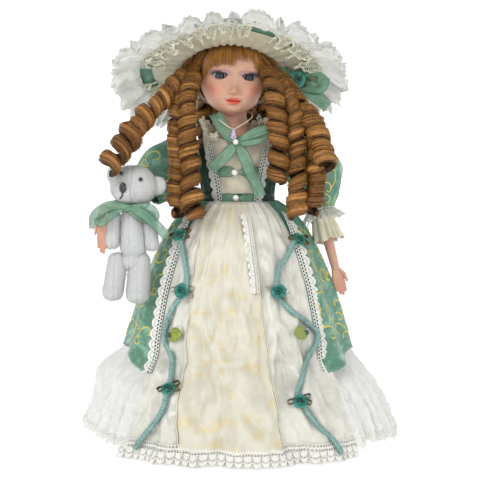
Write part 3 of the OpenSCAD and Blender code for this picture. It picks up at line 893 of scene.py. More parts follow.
def face_color(u, w, front):
    c = blend_color(SKIN, BLUSH, 0.16 * wobble(u * 0.05, w * 0.05, 2.0) + 0.04)
    if not front:
        return c
    m = abs(u)
    c = blend_color(c, BLUSH, 0.62 * spot(m, w, 19, -11.5, 8.0, 7.5) + 0.2 * spot(u, w, 0, -12.6, 4.5, 3.5)
                    + 0.22 * spot(u, w, 0, -32, 7, 3))
    e = eye_inside(u, w)
    c = blend_color(c, SHADOW, 0.60 * exp(-((e - 1.9) / 1.1) ** 2) * smooth(w, -0.5, 2.5))
    c = blend_color(c, (0.62, 0.24, 0.18), 0.5 * exp(-((e - 1.25) / 0.25) ** 2) * smooth(-w, -0.5, 1.5))
    c = blend_color(c, LID, 0.98 * exp(-((e - 1.05) / 0.24) ** 2) * smooth(w, 0.2, 1.2))
    c = blend_color(c, LID, 0.55 * exp(-((e - 1.05) / 0.10) ** 2) * smooth(-w, -0.2, 1.0))
    c = blend_color(c, (0.26, 0.07, 0.05), 0.6 * spot(m, w, 2.1, -15.9, 0.9, 0.6))
    arch = 8.4 + 1.7 * bump(m, 16.5, 6.0) - 0.6 * smooth(m, 17, 22)
    hair_line = sin(m * 5.5 + w * 2.5) * 0.2 + 0.8
    c = blend_color(c, BROW, 0.60 * hair_line * bump(w, arch, 0.62) * smooth(m, 7.5, 10)
                    * (1 - smooth(m, 19, 22)))
    k = lips(u, w)
    c = blend_color(c, blend_color(LIP, (0.78, 0.20, 0.13), 0.5 * spot(u, w, 0, -24.0, 4, 1.2)), k)
    c = blend_color(c, LIP_DARK, 0.8 * k * bump(w, -22.0 + 0.010 * u * u, 0.5))
    # Painted light and shade on the skin: cheeks and sides lighter, the side at positive u more so, and the
    # forehead darker.
    glow = 1 + 0.24 * smooth(m, 7, 19) + 0.10 * smooth(u, 7, 19) - 0.10 * smooth(w, 14, 22)
    return tuple(min(0.84, x * glow * 0.96) for x in c)


def head():
    shape = Mesh()
    nu, nv = 380, 256

    def local(u, v):
        w = mix(36, -35.5, 0.5 - 0.5 * cos(pi * (0.06 + 0.90 * v)) if v not in (0, 1) else v)
        q = 2 * u - 1
        turn = pi * (0.42 * q + 0.58 * q ** 3)
        wide = even(w, HALF_WIDE)
        mid = 7 * smooth(-w, 14, 35)
        deep = even(w, FRONT) - mid if abs(turn) < pi / 2 else even(w, REAR) + mid
        power = 2 / 2.25
        x = wide * copysign(abs(sin(turn)) ** power, turn)
        f = mid + deep * copysign(abs(cos(turn)) ** power, cos(turn))
        front = abs(turn) < 1.35
        if front:
            f += face_relief(x, w) * smooth(1.35 - abs(turn), 0, 0.25)
        return x, f, w, front

    made = {}

    def at(u, v):
        made[u, v] = local(u, v)
        return face_world(*made[u, v][:3])

    shape.grid(nu, nv, at, color=lambda u, v: face_color(made[u, v][0], made[u, v][2], made[u, v][3]))
    obj = shape.make("head_bisque", "bisque", "doll", "bisque")

    neck = Mesh()
    ring = [(313, 12.6), (306, 11.9), (298, 11.7), (291, 12.6), (287, 15.5), (283, 21), (279, 26),
            (274, 29.5), (268, 31)]

    def neck_at(u, v):
        z = mix(313, 268, v)
        a = TAU * u
        r = (table(z - 1, ring) + table(z + 1, ring) + table(z, ring)) / 3
        x = mix(-4.2, -2.5, v) + r * sin(a)
        y = mix(3.5, 2.5, v) - r * mix(0.95, 0.74, smooth(v, 0.4, 1)) * cos(a)
        collar = 0.8 * bump(abs(x + 3), 8, 4) * bump(z, 285, 3) * (cos(a) > 0)
        return (x, y - collar, z)

    neck.grid(96, 60, neck_at, wrap=True, color=lambda u, v: blend_color(SKIN, BLUSH, 0.08 + 0.15 * (1 - v)))
    neck.make("neck_and_shoulder_bisque", "bisque", "doll", "bisque")
    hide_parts("head_and_shoulder_plate")


def eyes():
    shape = Mesh()
    lash = Mesh()
    rng = random.Random(5)
    r = 7.8
    for side in (-1, 1):
        centre = (side * EYE_U, 15.9, 0.2)

        def at(u, v, c=centre):
            a, e = TAU * u, pi * (0.02 + 0.5 * v)
            bulge = r + 0.35 * (1 - smooth(e, 0.2, 0.52))
            return face_world(c[0] + bulge * sin(e) * cos(a), c[1] + bulge * cos(e),
                              c[2] + bulge * sin(e) * sin(a))

        def color(u, v):
            e = r * sin(pi * (0.02 + 0.5 * v))
            if e < 1.45:
                return (0.004, 0.004, 0.006)
            if e < 4.1:
                ray = 0.55 + 0.45 * sin(TAU * u * 33 + 2 * sin(TAU * u * 7))
                inner = smooth(e, 1.45, 3.2)
                c = blend_color((0.020, 0.026, 0.042), (0.115, 0.135, 0.185), 0.8 * ray * (1 - 0.5 * inner))
                return blend_color(c, (0.008, 0.010, 0.016), smooth(e, 3.0, 3.9))
            return blend_color((0.06, 0.06, 0.08), (0.60, 0.56, 0.56), smooth(e, 4.1, 4.8))

        shape.grid(160, 90, at, wrap=True, color=color)
        for k in range(44):
            x = mix(-1.04, 1.02, (k + rng.uniform(-0.3, 0.3)) / 43)
            top = 0.4 + 0.9 * x * x + EYE_HIGH * max(0.0, 1 - abs(x) ** 2.2) ** (1 / 1.7)
            u = side * EYE_U + x * EYE_LONG
            depth = 23.9 - 0.07 * (abs(u) - 8) - 0.6 * x * x
            spread = x * 1.2 + 0.5 * side
            pts = [face_world(u + spread * t * 1.1, depth + 1.1 + 1.9 * t, w)
                   for t, w in ((0, top - 0.1), (0.4, top + 0.15), (0.8, top + 0.9), (1.05, top + 1.9))]
            lash.tube(curve_through(pts, 6), lambda t: mix(0.22, 0.06, t), 4)
        for k in range(20):
            x = mix(-0.85, 0.9, (k + rng.uniform(-0.3, 0.3)) / 19)
            low = 0.4 + 0.9 * x * x - 0.78 * EYE_HIGH * max(0.0, 1 - abs(x) ** 2.2) ** (1 / 1.7)
            u = side * EYE_U + x * EYE_LONG
            pts = [face_world(u + x * 0.8 * t, 24.4 + 0.9 * t - 0.6 * x * x, low - 0.3 - 1.1 * t)
                   for t in (0, 0.5, 1)]
            lash.tube(pts, lambda t: mix(0.09, 0.04, t), 4)
    obj = shape.make("glass_eyes", "eye", "doll", "glass_eye")
    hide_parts("glass_eyes")
    lash.make("lashes", "lash", "doll", "hair")


# ---------------------------------------------------------------- hair

HAIR_DARK, HAIR_MID, HAIR_LIGHT = (0.014, 0.005, 0.002), (0.150, 0.056, 0.011), (0.50, 0.235, 0.058)


def hair_tone(streak, open_):
    """streak: which strand, -1 to 1; open_: how lit a spot is, 0 in a groove, 1 on the outside of a lock; low
    values darken towards HAIR_DARK as painted shade.
    """
    c = blend_color(HAIR_MID, HAIR_LIGHT, clamp(0.30 + 0.95 * streak))
    c = blend_color(c, HAIR_DARK, clamp(-0.6 * streak))
    # Painted shade: grooves and the far sides of a lock darken towards HAIR_DARK.
    return blend_color(HAIR_DARK, c, clamp(0.12 + 0.95 * open_))


def ringlet(shape, points, r0, r1, pitch, hand, seed, start=0.5, wisps=290):
    """A lock of hair wound round the line of points like a loose spring, open in its middle."""
    rng = random.Random(seed)
    rough = curve_through(points, 60)
    length = sum((b - a).length for a, b in zip(rough, rough[1:]))
    pitch *= 1.28
    per_turn, sides = 44, 30
    count = int(length / pitch * per_turn)
    rows = frames_along(curve_through(points, count + 1), (0.15, -1, 0.2))
    turn = rng.random()
    coil = []
    for i, (p, t, side, out) in enumerate(rows):
        f = i / count
        s = f * length
        turn += (1 + 0.60 * wobble(s * 0.06, seed * 1.7)) / per_turn
        r = mix(r0, r1, f) * mix(start, 1, smooth(f, 0, 0.15)) * (1 + 0.30 * wobble(s * 0.08, seed * 2.3))
        a = TAU * turn * hand
        away = side * cos(a) + out * sin(a)
        drift = side * (2.4 * wobble(s * 0.04, seed * 3.3)) + out * (2.4 * wobble(s * 0.04, seed * 5.1))
        ends = (smooth(f * count, 0, per_turn * 0.5)
                * mix(0.45, 1, smooth((1 - f) * count, 0, per_turn * 0.45)))
        coil.append((p + drift + away * (0.62 * r), away, r, mix(0.25, 1, ends)))
    base = len(shape.verts)
    spots = []
    for i, (c, away, r, ends) in enumerate(coil):
        t = (coil[min(i + 1, count)][0] - coil[max(i - 1, 0)][0]).normalized()
        wide = away.cross(t).normalized()
        spots.append((c, away, wide, r, ends))
        for k in range(sides):
            b = TAU * k / sides
            streak = wobble(k * 0.83, i * 0.018, seed * 3.1) + 0.7 * wobble(k * 1.9, i * 0.05, seed)
            swell = 1 + 0.16 * streak
            x, y = 0.34 * r * swell * ends, 0.40 * pitch * swell * ends * (1 + 0.25 * wobble(i * 0.02, seed))
            shape.verts.append(tuple(c + away * (x * cos(b)) + wide * (y * sin(b))))
            shape.uvs.append((k / 4, i * 0.3))
            lit = clamp(0.15 + 0.75 * cos(b)) * (0.55 + 0.45 * smooth(away.z * 0.3 - away.y, -0.6, 0.7))
            shape.colors.append(hair_tone(streak * 1.3 + 0.4 * wobble(i * 0.03, seed * 7), lit))
    for i in range(count):
        for k in range(sides):
            a, b = base + i * sides + k, base + i * sides + (k + 1) % sides
            shape.faces.append((a, b, b + sides, a + sides))
    shape.faces.append(tuple(base + k for k in reversed(range(sides))))
    shape.faces.append(tuple(base + count * sides + k for k in range(sides)))
    for _ in range(wisps):
        first = rng.randrange(0, max(1, count - 40))
        last = min(count, first + rng.randrange(30, 150))
        b, lift = rng.uniform(-1.9, 1.9), rng.choice((0.0, 0.15, 0.3, 0.5, 0.8))
        turn_by, loose = rng.uniform(-0.012, 0.012), rng.uniform(0.0, 0.9) if rng.random() < 0.35 else 0.0
        tone = rng.gauss(0.45, 0.55)
        run, light = [], 0.0
        for i in range(first, last, 5):
            c, away, wide, r, ends = spots[i]
            f = (i - first) / (last - first)
            b += turn_by * 5
            swing = (lift + loose * 1.6 * sin(pi * f)) * sin(pi * f) ** 0.5
            run.append(c + away * ((0.35 * r * ends + swing) * cos(b))
                       + wide * ((0.41 * pitch * ends + swing) * sin(b)))
            light += 0.5 + 0.5 * smooth(away.z * 0.3 - away.y, -0.6, 0.7)
        if len(run) > 3:
            # Painted light and shade of a wisp: lighter on the outside of the lock and where the lock faces up
            # and forward.
            open_ = clamp(0.25 + 0.75 * cos(b)) * light / len(run)
            shape.tube(run, lambda t, w=rng.uniform(0.16, 0.34): w * (1 - 0.6 * abs(2 * t - 1) ** 3), 3,
                       color=hair_tone(tone, open_))


def lock(strands, points, count, spread, seed, wave=0.0, thick=0.34):
    """A flat bundle of single hairs through the points."""
    rng = random.Random(seed)
    line = curve_through(points, 24)
    rows = frames_along(line, (0.1, -1, 0.3))
    for _ in range(count):
        a, b = rng.gauss(0, 0.55), rng.gauss(0, 0.35)
        reach, phase, tone = rng.uniform(0.7, 1.0), rng.uniform(0, TAU), rng.uniform(-0.7, 0.9)
        run = []
        for i in range(max(4, int(24 * reach))):
            p, t, side, out = rows[i]
            f = i / 23
            w = spread(f)
            curl = wave * f
            run.append(p + side * (a * w + curl * cos(phase + i * 0.9))
                       + out * (b * w * 0.6 + curl * sin(phase + i * 0.9)))
        strands.tube(run, lambda t: thick * (1 - 0.75 * t), 4, color=hair_tone(tone, 0.9))


RIGHT_CURLS = [([(-38, -6, 352), (-52, -22, 338), (-66, -38, 322), (-83, -50, 304), (-97, -63, 285),
                 (-108, -73, 268), (-115, -80, 256)], 7.5, 13.0, 11, 1),
               ([(-38, -10, 350), (-43, -28, 334), (-46, -42, 318), (-46, -50, 298), (-44, -54, 255),
                 (-40, -64, 211)], 7, 11.5, 10.5, -1),
               ([(-42, -12, 345), (-52, -30, 324), (-56, -40, 304), (-56, -44, 285), (-54, -47, 250),
                 (-53, -54, 213)], 7.5, 9.5, 10, 1)]
LEFT_CURLS = [([(24, -10, 352), (30, -28, 338), (33, -40, 324), (35, -45, 302), (36, -48, 275),
                (36, -49, 243)], 7, 11.5, 10, 1),
              ([(28, -8, 350), (40, -26, 334), (47, -36, 318), (52, -42, 298), (54, -47, 255),
                (53, -56, 212)], 6.5, 10.5, 10.5, -1),
              ([(32, -6, 344), (50, -24, 324), (62, -34, 308), (70, -41, 292), (77, -50, 274),
                (82, -60, 260)], 6.5, 12.0, 11, 1),
              ([(40, -6, 330), (56, -24, 308), (66, -36, 290), (70, -42, 272), (72, -43, 248),
                (66, -46, 216)], 6.5, 10.5, 10, -1)]
BACK_CURLS = [([(-4 + 14 * i, 37 - abs(i), 322), (-4 + 15 * i, 45 - abs(i), 304), (16 * i, 47 - abs(i), 285),
                (17 * i, 48 - abs(i), 243)], 8, 9.5, 10.5, 1 if i % 2 else -1) for i in range(-2, 3)]


def hair():
    strands = Mesh()
    for tag, group, node_name in (("right", RIGHT_CURLS, "right_curls"), ("left", LEFT_CURLS, "left_curls"),
                                  ("back", BACK_CURLS, "back_curls")):
        shape = Mesh()
        for i, (pts, r0, r1, pitch, hand) in enumerate(group):
            ringlet(shape, pts, r0, r1, pitch, hand, len(tag) * 7 + i * 3 + 1,
                    wisps=150 if tag == "back" else 290)
        obj = shape.make(f"ringlets_{tag}", "hair", "doll", "hair")
        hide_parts(node_name)

    cap = Mesh()

    def cap_at(u, v):
        a, e = TAU * u, pi * (0.02 + 0.78 * v)
        out = 1.2 * wobble(cos(a) * 9, sin(a) * 9, e * 0.8)
        flare = 4.5 * smooth(v, 0.35, 0.7)
        r = 35.5 + out
        return (-4 + (r + flare) * sin(e) * sin(a), 4 - (r - 2) * sin(e) * cos(a), 344 + (r - 1) * cos(e))

    def cap_keep(u, v):
        a, e = TAU * u, pi * (0.02 + 0.78 * v)
        front = cos(a) * sin(e)
        return front < 0.34 or cos(e) > 0.62

    # The whole cap is drawn at open_ 0.55, an even painted shade.
    cap.grid(200, 110, cap_at, keep=cap_keep, wrap=True,
             color=lambda u, v: hair_tone(wobble(cos(TAU * u) * 22, sin(TAU * u) * 22, v * 2), 0.55))
    wig = thicken(cap.make("wig_cap_hair", "hair", "doll", "hair"), 1.2)
    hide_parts("wig_cap")

    rng = random.Random(12)
    fringe = Mesh()
    for k in range(700):
        x = rng.uniform(-27.5, 27.5)
        lean = 0.22 * x + rng.gauss(0, 1.6) + 4.0 * smooth(x, 0, 10) * (1 - smooth(x, 12, 22))
        side = smooth(abs(x), 17, 27)
        gap = bump(x, 8, 9)
        tip = (mix(350.5, 338, side) + 6.5 * gap + rng.uniform(-2.5, 6.0) * (1 - 0.5 * side)
               + 2.2 * sin(x * 0.55 + 1))
        if rng.random() < 0.35 * gap:
            continue
        lift = rng.uniform(0, 1.6)
        pts = []
        for t in (0, 0.25, 0.5, 0.75, 1):
            z = mix(371.5, tip, t)
            u = x * 0.86 + lean * t ** 1.5
            w = z - 339.5
            deep = even(min(w, 30), FRONT) * sqrt(max(0.05, 1 - (u / (even(min(w, 30), HALF_WIDE) + 3)) ** 2))
            pts.append(face_world(u + 0.3, deep + 1.4 + lift + 1.8 * sin(pi * t) * (1 - 0.4 * side), w))
        fringe.tube(curve_through(pts, 9), lambda t: 0.36 * (1 - 0.8 * t ** 2), 4,
                    color=hair_tone(rng.uniform(-0.1, 1.2), 1))
    bangs = fringe.make("fringe_strands", "hair", "doll", "hair")
    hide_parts("fringe")

    flows = [([(-33, -6, 366), (-41, -13, 350), (-46, -22, 336), (-50, -32, 320)], 150, 7, 11),
             ([(-30, -4, 362), (-42, -12, 346), (-53, -24, 334), (-64, -36, 320)], 150, 9, 12),
             ([(-40, -6, 350), (-44, -14, 335), (-46, -26, 320), (-48, -36, 304)], 120, 6, 13),
             ([(-40, -6, 345), (-54, -22, 330), (-70, -38, 316), (-84, -48, 302)], 60, 8, 19),
             ([(17, -14, 367), (24, -18, 352), (29, -26, 338), (34, -36, 320)], 130, 5, 14),
             ([(20, -10, 362), (32, -16, 346), (44, -26, 332), (56, -34, 316)], 130, 8, 15),
             ([(26, -12, 345), (30, -20, 332), (32, -28, 318), (35, -38, 302)], 110, 5, 16),
             ([(-44, -34, 318), (-50, -40, 305), (-51, -46, 290), (-50, -48, 262)], 70, 7, 17),
             ([(44, -34, 314), (49, -38, 300), (50, -44, 285), (48, -47, 258)], 70, 7, 18),
             ([(56, -34, 312), (66, -38, 300), (76, -44, 285), (80, -46, 268)], 50, 7, 20)]
    for pts, count, wide, seed in flows:
        lock(strands, pts, count, lambda f, w=wide: w * (0.7 + 0.5 * f), seed, wave=2.6, thick=0.42)
    strands.make("loose_hair", "hair", "doll", "hair")


# ---------------------------------------------------------------- hat

HAT_TILT = radians(27)


def hat(x, y, z):
    c, s = cos(HAT_TILT), sin(HAT_TILT)
    return Vector((-8 + x, 6 + c * y + s * z, 350 - s * y + c * z))


def brim_height(a, r):
    w = radians(a)
    t = clamp((r - 42) / 48, 0, 1.5)
    return -6 * t * t + 2.0 * t * sin(3 * w + 0.8) + 1.2 * t * sin(5 * w + 2)


def brim(a, r, out=0.0):
    w = radians(a)
    return hat(r * sin(w), -r * cos(w), brim_height(a, r) - out)


def hat_pieces():
    crown = Mesh()

    def crown_at(u, v):
        a, t = TAU * u, v
        r = mix(44, 42, t) * sqrt(max(0.0, 1 - t ** 3.2)) if t < 1 else 0.0
        puff = 1.4 * sin(26 * a + sin(3 * a)) * smooth(1 - t, 0.1, 1) * smooth(t, 0.1, 0.4)
        return hat((r + puff) * sin(a), -(r + puff) * cos(a), 1 + 33 * t ** 0.8)

    crown.grid(300, 40, crown_at, wrap=True, uv=lambda u, v: (u * 270, v * 55))
    thicken(crown.make("hat_crown_brocade", "brocade", "hat", "green_brocade"), 0.8)
    band = Mesh()
    band.grid(300, 30, lambda u, v: brim(360 * u, mix(43.5, 91, v), 0.0), wrap=True,
              uv=lambda u, v: (u * 420, v * 50))
    ring = thicken(band.make("hat_brim_brocade", "brocade", "hat", "green_brocade"), 1.4)
    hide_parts("hat")
    lining = Mesh()

    def lining_at(u, v):
        a = 360 * u
        r = mix(39.5, 72.5, v)
        pleat = 0.8 * sin(radians(a) * 34 + 1.5 * sin(radians(a) * 4)) * smooth(1 - v, 0, 0.8)
        roll = 3.0 * (1 - smooth(v, 0, 0.22))
        return brim(a, r, 1.8 + pleat + 0.8 * wobble(a * 0.04, v * 2, 5) + 1.2 * sin(pi * v) - roll)

    lining.grid(520, 36, lining_at, wrap=True, uv=lambda u, v: (u * 360, v * 35))
    cloth_ring = thicken(lining.make("hat_lining_satin", "lining", "hat", "ivory_satin"), 0.6)
    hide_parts("hat_lining")

    turns = 33

    def ruffle_at(u, v):
        a = 360 * u
        w = radians(a)
        phase = (turns * w + 3.0 * wobble(cos(w) * 6, sin(w) * 6, 0.4)
                 + 0.8 * v * wobble(cos(w) * 9, sin(w) * 9, 3))
        fold = sin(phase) + 0.30 * sin(2 * phase + 1.1) + 0.10 * sin(7 * phase + 5 * v)
        fold += 0.35 * wobble(cos(w) * 45, sin(w) * 45, v * 4)
        size = mix(0.8, 5.6, v ** 0.8) * (1 + 0.5 * wobble(cos(w) * 8, sin(w) * 8, 11))
        reach = 21.0 + 4.0 * wobble(cos(w) * 9, sin(w) * 9, 8) + 1.2 * cos(phase)
        lean = 0.35 * size * cos(phase * 0.5 + 1)
        r = 84 + (reach + 4) * v
        h = size * fold + 3.5 * v * wobble(cos(w) * 3, sin(w) * 3, 6) - 1.5 * v
        ang = w + radians(lean * 0.8)
        droop = 7.0 * v * bump(abs((a + 180) % 360 - 180), 122, 30) + 3.4 * (1 - smooth(v, 0.1, 0.5))
        rise = 8.0 * v * bump(abs((a + 180) % 360 - 180), 180, 75)
        return hat(r * sin(ang), -r * cos(ang), brim_height(a, r) + h - droop + rise)

    def under_ruffle_at(u, v):
        """The second layer, folded out of step with the first so no gap shows between the folds."""
        return ruffle_at(u + 0.5 / turns, 0.86 * v) + hat(0, 0, -2.2 * v) - hat(0, 0, 0)

    ruffle = Mesh().grid(1700, 30, ruffle_at, wrap=True, uv=lambda u, v: (u * 900, v * 22))
    ruffle.grid(1200, 20, under_ruffle_at, wrap=True, uv=lambda u, v: (u * 900, v * 22))
    frill = ruffle.make("hat_ruffle_organza", "organza", "hat", "white_organza")
    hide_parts("hat_ruffle")
    rim = Mesh().grid(3000, 12, lambda u, v: ruffle_at(u, mix(0.72, 1.07, v)), wrap=True,
                       keep=lambda u, v: lace_mask(u * 1100, v * 7.5, 7.5, 6.6),
                       uv=lambda u, v: (u * 1100, v * 8))
    soften_edges(rim.make("hat_ruffle_lace", "lace", "hat", "white_lace"), 1)

    vee = Mesh()

    def vee_depth(a):
        tooth = abs(((a + 3 * sin(a * 0.13)) / 12.5) % 1.0 - 0.5) * 2
        return 9.0 + 20.0 * tooth ** 1.2 + 3.5 * wobble(a * 0.06, 0.0, 2.0)

    def vee_at(u, v):
        a = 360 * u
        r = 89 - vee_depth(a) * v
        return brim(a, r, 3.0 + 3.0 * v + 1.8 * sin(a * 1.1) * v + 1.1 * sin(a * 2.9 + 1) * v)

    def vee_keep(u, v):
        a = 360 * u
        if from_front(a - 22) < 8 or from_front(a + 93) < 10:
            return False
        deep = vee_depth(a)
        if (1 - v) * deep < 2.0 or v * deep < 1.2:
            return True
        s, t = a * 1.45 / 1.9, v * deep / 1.9
        return min(abs((s + t) % 1.0 - 0.5), abs((s - t) % 1.0 - 0.5)) < 0.14

    vee.grid(1560, 38, vee_at, keep=vee_keep, wrap=True, uv=lambda u, v: (u * 520, v * 16))
    lace = thicken(soften_edges(vee.make("hat_cream_lace", "cream_lace", "hat", "cream_lace"), 1), 0.3)
    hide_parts("hat_lace")

    bow, cords = Mesh(), Mesh()
    at = hat(65, -2, -15)
    for steps, width in (([(0, 0, 0), (-14, -3, 8), (-24, -4, 3), (-22, -5, -8), (-9, -4, -7), (0, 0, 0)], 11.5),
                         ([(0, 0, 0), (10, -4, 9), (22, -4, 5), (20, -6, -6), (8, -4, -6), (0, 0, 0)], 12),
                         ([(0, 0, 0), (6, -5, -10), (16, -5, -15), (27, -3, -25)], 13),
                         ([(0, 0, 0), (-6, -5, -10), (-12, -3, -22)], 11)):
        ribbon(bow, cords, around(at, steps), width, (0.2, -0.9, 0.35), wave=1.2)
    tied = thicken(bow.make("hat_bow_organza", "green_organza", "hat", "green_organza"), 0.25)
    cords.make("hat_bow_selvedge", "dark_green", "hat", "green_organza")
    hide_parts("hat_bow")
    rose, leaves = Mesh(), Mesh()
    satin_rose(rose, at + Vector((-2, -7, 1)), Vector((0.1, -1, 0.1)), 7.5, 41)
    leaf_loops(leaves, at + Vector((-2, -4, 1)), Vector((0.1, -1, 0.1)), 8.5, 42)
    bloom = rose.make("hat_rose_satin", "teal", "hat", "teal_satin")
    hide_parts("hat_rose")
    leaves.make("hat_rose_leaves", "leaf", "hat", "teal_satin")
    figure = gold_figure(random.Random(77), 260, 46, 17)
    gold_lines("hat_gold_thread", figure, lambda x, y: crown_spot(crown_at, x / 270, y / 55),
               lambda x, y: 0 < x < 270 and 2 < y < 46, "hat")


def crown_spot(at, u, v):
    p = at(u, v)
    n = (at(u + 0.002, v) - p).cross(at(u, v + 0.01) - p).normalized()
    outward = p - hat(0, 0, 5)
    return p, (n if n.dot(outward) > 0 else -n)


# ---------------------------------------------------------------- ribbons, roses and pearls

def around(at, steps):
    """Points at the given steps from one point."""
    return [at + Vector(step) for step in steps]


def ribbon(shape, cords, points, width, lean, wave=0.6, twist=0.0, taper=0.0, segs=8, keep_count=70):
    """Ribbon through the points with a wired selvedge along both edges; its face looks along lean."""
    line = curve_through(points, keep_count)
    rows = frames_along(line, lean)
    base = len(shape.verts)
    rims = ([], [])
    for i, (p, t, side, out) in enumerate(rows):
        f = i / (len(rows) - 1)
        pinch = 1 - taper * (1 - smooth(f, 0, 0.3))
        for k in range(segs + 1):
            s = k / segs - 0.5
            turned = side * cos(twist * f) + out * sin(twist * f)
            q = p + turned * (s * width * pinch) + out * (wave * sin(f * 14 + s * 5) * abs(s) * 1.6
                                                          + wave * 0.5 * sin(s * 9 + f * 4))
            shape.verts.append(tuple(q))
            shape.uvs.append((s * width, f * 60))
            if k == 0:
                rims[0].append(q)
            if k == segs:
                rims[1].append(q)
    for i in range(len(rows) - 1):
        for k in range(segs):
            a = base + i * (segs + 1) + k
            shape.faces.append((a, a + 1, a + segs + 2, a + segs + 1))
    for rim in rims:
        cords.tube(rim, 0.24, 5, lean=lean)


def satin_rose(shape, centre, facing, size, seed):
    """Rolled ribbon rose: petals wound outwards round the facing direction."""
    rng = random.Random(seed)
    out = facing.normalized()
    side = out.cross(Vector((0.1, 0.2, 1))).normalized()
    up = side.cross(out)
    for ring_no, (count, r, tall, open_) in enumerate(((2, 0.18, 0.62, 0.05), (3, 0.38, 0.60, 0.22),
                                                       (4, 0.62, 0.50, 0.5), (5, 0.86, 0.34, 0.85))):
        for k in range(count):
            mid = TAU * (k + rng.uniform(-0.1, 0.1)) / count + ring_no * 0.7
            span = TAU / count * 0.78

            def petal(u, v, r=r, tall=tall, open_=open_, mid=mid, span=span):
                a = mid + span * (u - 0.5) * 1.7
                edge = 1 - (2 * u - 1) ** 4 * 0.45
                reach = r * (0.45 + 0.55 * v) + 0.22 * open_ * v * v
                rise = tall * v * edge - 0.30 * open_ * v ** 3
                d = side * cos(a) + up * sin(a)
                return centre + (d * (reach + 0.03 * sin(9 * u)) + out * (rise - 0.1)) * size

            shape.grid(12, 8, petal, uv=lambda u, v: (u * 8, v * 6))


def leaf_loops(shape, centre, facing, size, seed):
    """Wired ribbon loops round a rose."""
    rng = random.Random(seed)
    out = facing.normalized()
    side = out.cross(Vector((0.1, 0.2, 1))).normalized()
    up = side.cross(out)
    first = rng.uniform(-0.5, 0.5)
    for k in range(3):
        a = first + (0, pi - 0.3, pi + 0.45)[k]
        d = side * cos(a) + up * sin(a)
        across = out.cross(d)

        def loop(u, v, d=d, across=across):
            b = TAU * u
            reach = size * (0.78 - 0.50 * cos(b))
            return (centre + d * reach + across * (0.27 * size * sin(b))
                    + out * (0.42 * size * (v - 0.5) + 0.1 * size))

        shape.grid(26, 4, loop, uv=lambda u, v: (u * 10, v * 3))


def ribbon_leaf(shape, root, tip, facing):
    """Folded ribbon leaf, pinched at its root and rounded at its tip."""
    along = tip - root
    across = facing.cross(along).normalized()

    def at(u, v):
        f = 0.06 + 0.94 * u
        half = 6.6 * sin(pi * min(f, 0.97) ** 0.8) ** 0.7
        b = TAU * v
        pleat = 0.5 * sin(9 * b) * (1 - u)
        return (root + along * (f * 1.12) + across * (half * cos(b))
                + facing * ((1.9 + pleat) * sin(b) * half / 5.6))

    shape.grid(26, 40, at, uv=lambda u, v: (u * 16, v * 12))


def surface_normal(place, a, z):
    p = place(a, z)
    n = (place(a + 0.4, z) - p).cross(place(a, z + 0.8) - p)
    n.normalize()
    return n if n.dot(Vector((p.x, p.y, 0))) > 0 else -n


def fuzzy_cord(shape, points, core, pile, seed, per_mm=7):
    rng = random.Random(seed)
    rough = curve_through(points, 80)
    length = sum((b - a).length for a, b in zip(rough, rough[1:]))
    rows = frames_along(curve_through(points, int(length * per_mm)), (0.2, -1, 0.1))
    shape.tube([p for p, _, _, _ in rows[::6]], core * 0.45, 8)
    for p, t, side, out in rows:
        a = rng.uniform(0, TAU)
        d = (side * cos(a) + out * sin(a) + t * rng.uniform(-0.35, 0.35)).normalized()
        reach = pile * rng.uniform(0.65, 1.15)
        w = t * 0.26
        tip = p + d * reach
        base = len(shape.verts)
        cross = d.cross(t).normalized() * 0.30
        shape.verts += [tuple(p + w), tuple(p - w), tuple(p + cross), tuple(tip)]
        shape.uvs += [(0, 0), (0, 1), (1, 0), (1, 1)]
        shape.faces += [(base, base + 1, base + 3), (base + 1, base + 2, base + 3),
                        (base + 2, base, base + 3)]


GARLANDS = {
    "right": [(-45, 192), (-40, 184), (-31, 166), (-29, 152), (-31, 146), (-36, 130), (-40, 118), (-39, 104),
              (-33, 90), (-29, 74), (-28, 62), (-28, 50), (-31, 37), (-35, 25), (-39, 12)],
    "left": [(43, 190), (34, 178), (26, 168), (22, 154), (23, 142), (27, 131), (37, 121), (43, 111),
             (42, 101), (36, 88), (28, 75), (24, 60), (25, 51), (29, 36), (34, 22), (37, 10)],
}
ROSES = ((-46, 196), (-31, 148), (-28, 66), (47, 192), (22, 148), (24, 56))


def garlands():
    for i, (tag, route) in enumerate(GARLANDS.items()):
        shape = Mesh()
        fuzzy_cord(shape, [gown(a, z, 4.2) for a, z in route], 3.4, 3.9, 30 + i, per_mm=36)
        obj = shape.make(f"garland_{tag}_chenille", "chenille", "doll", "chenille")
        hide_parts(f"{tag}_garland")
    blooms, loops, buds, knots = Mesh(), Mesh(), Mesh(), Mesh()
    for i, (a, z) in enumerate(ROSES):
        n = surface_normal(gown, a, z)
        facing = (n + Vector((0, -0.35, 0.25))).normalized()
        satin_rose(blooms, gown(a, z, 7.0), facing, 6.6, 60 + i)
        leaf_loops(loops, gown(a, z, 5.5), facing, 8.6, 80 + i)
    for a, z, reach in ((-37, 109, -8.4), (39, 110.5, 11.5)):
        n = surface_normal(gown, a, z)
        ribbon_leaf(buds, gown(a - 0.1 * reach, z, 4.4), gown(a - reach, z + 0.8, 5.4), n)
        knots.ball(gown(a - 0.22 * reach, z, 6.3), (2.6, 2.2, 2.4), 14, 8)
    for name, shape, mat, node_name in (("roses_teal_satin", blooms, "teal", "roses"),
                                        ("rose_leaf_loops", loops, "leaf", None),
                                        ("buds_olive_satin", buds, "olive", "leaf_buds")):
        obj = shape.make(name, mat, "doll", "olive_satin" if mat == "olive" else "teal_satin")
        if node_name:
            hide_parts(node_name)
    knots.make("bud_knots", "dark_green", "doll", "olive_satin")


# ---------------------------------------------------------------- bodice and neck

BODICE = [(284, 30.5), (276, 35), (266, 36.8), (248, 35.6), (236, 33.4), (226, 32.6)]


def bodice_r(z):
    return (table(z - 2, BODICE) + table(z + 2, BODICE) + table(z, BODICE) * 2) / 4


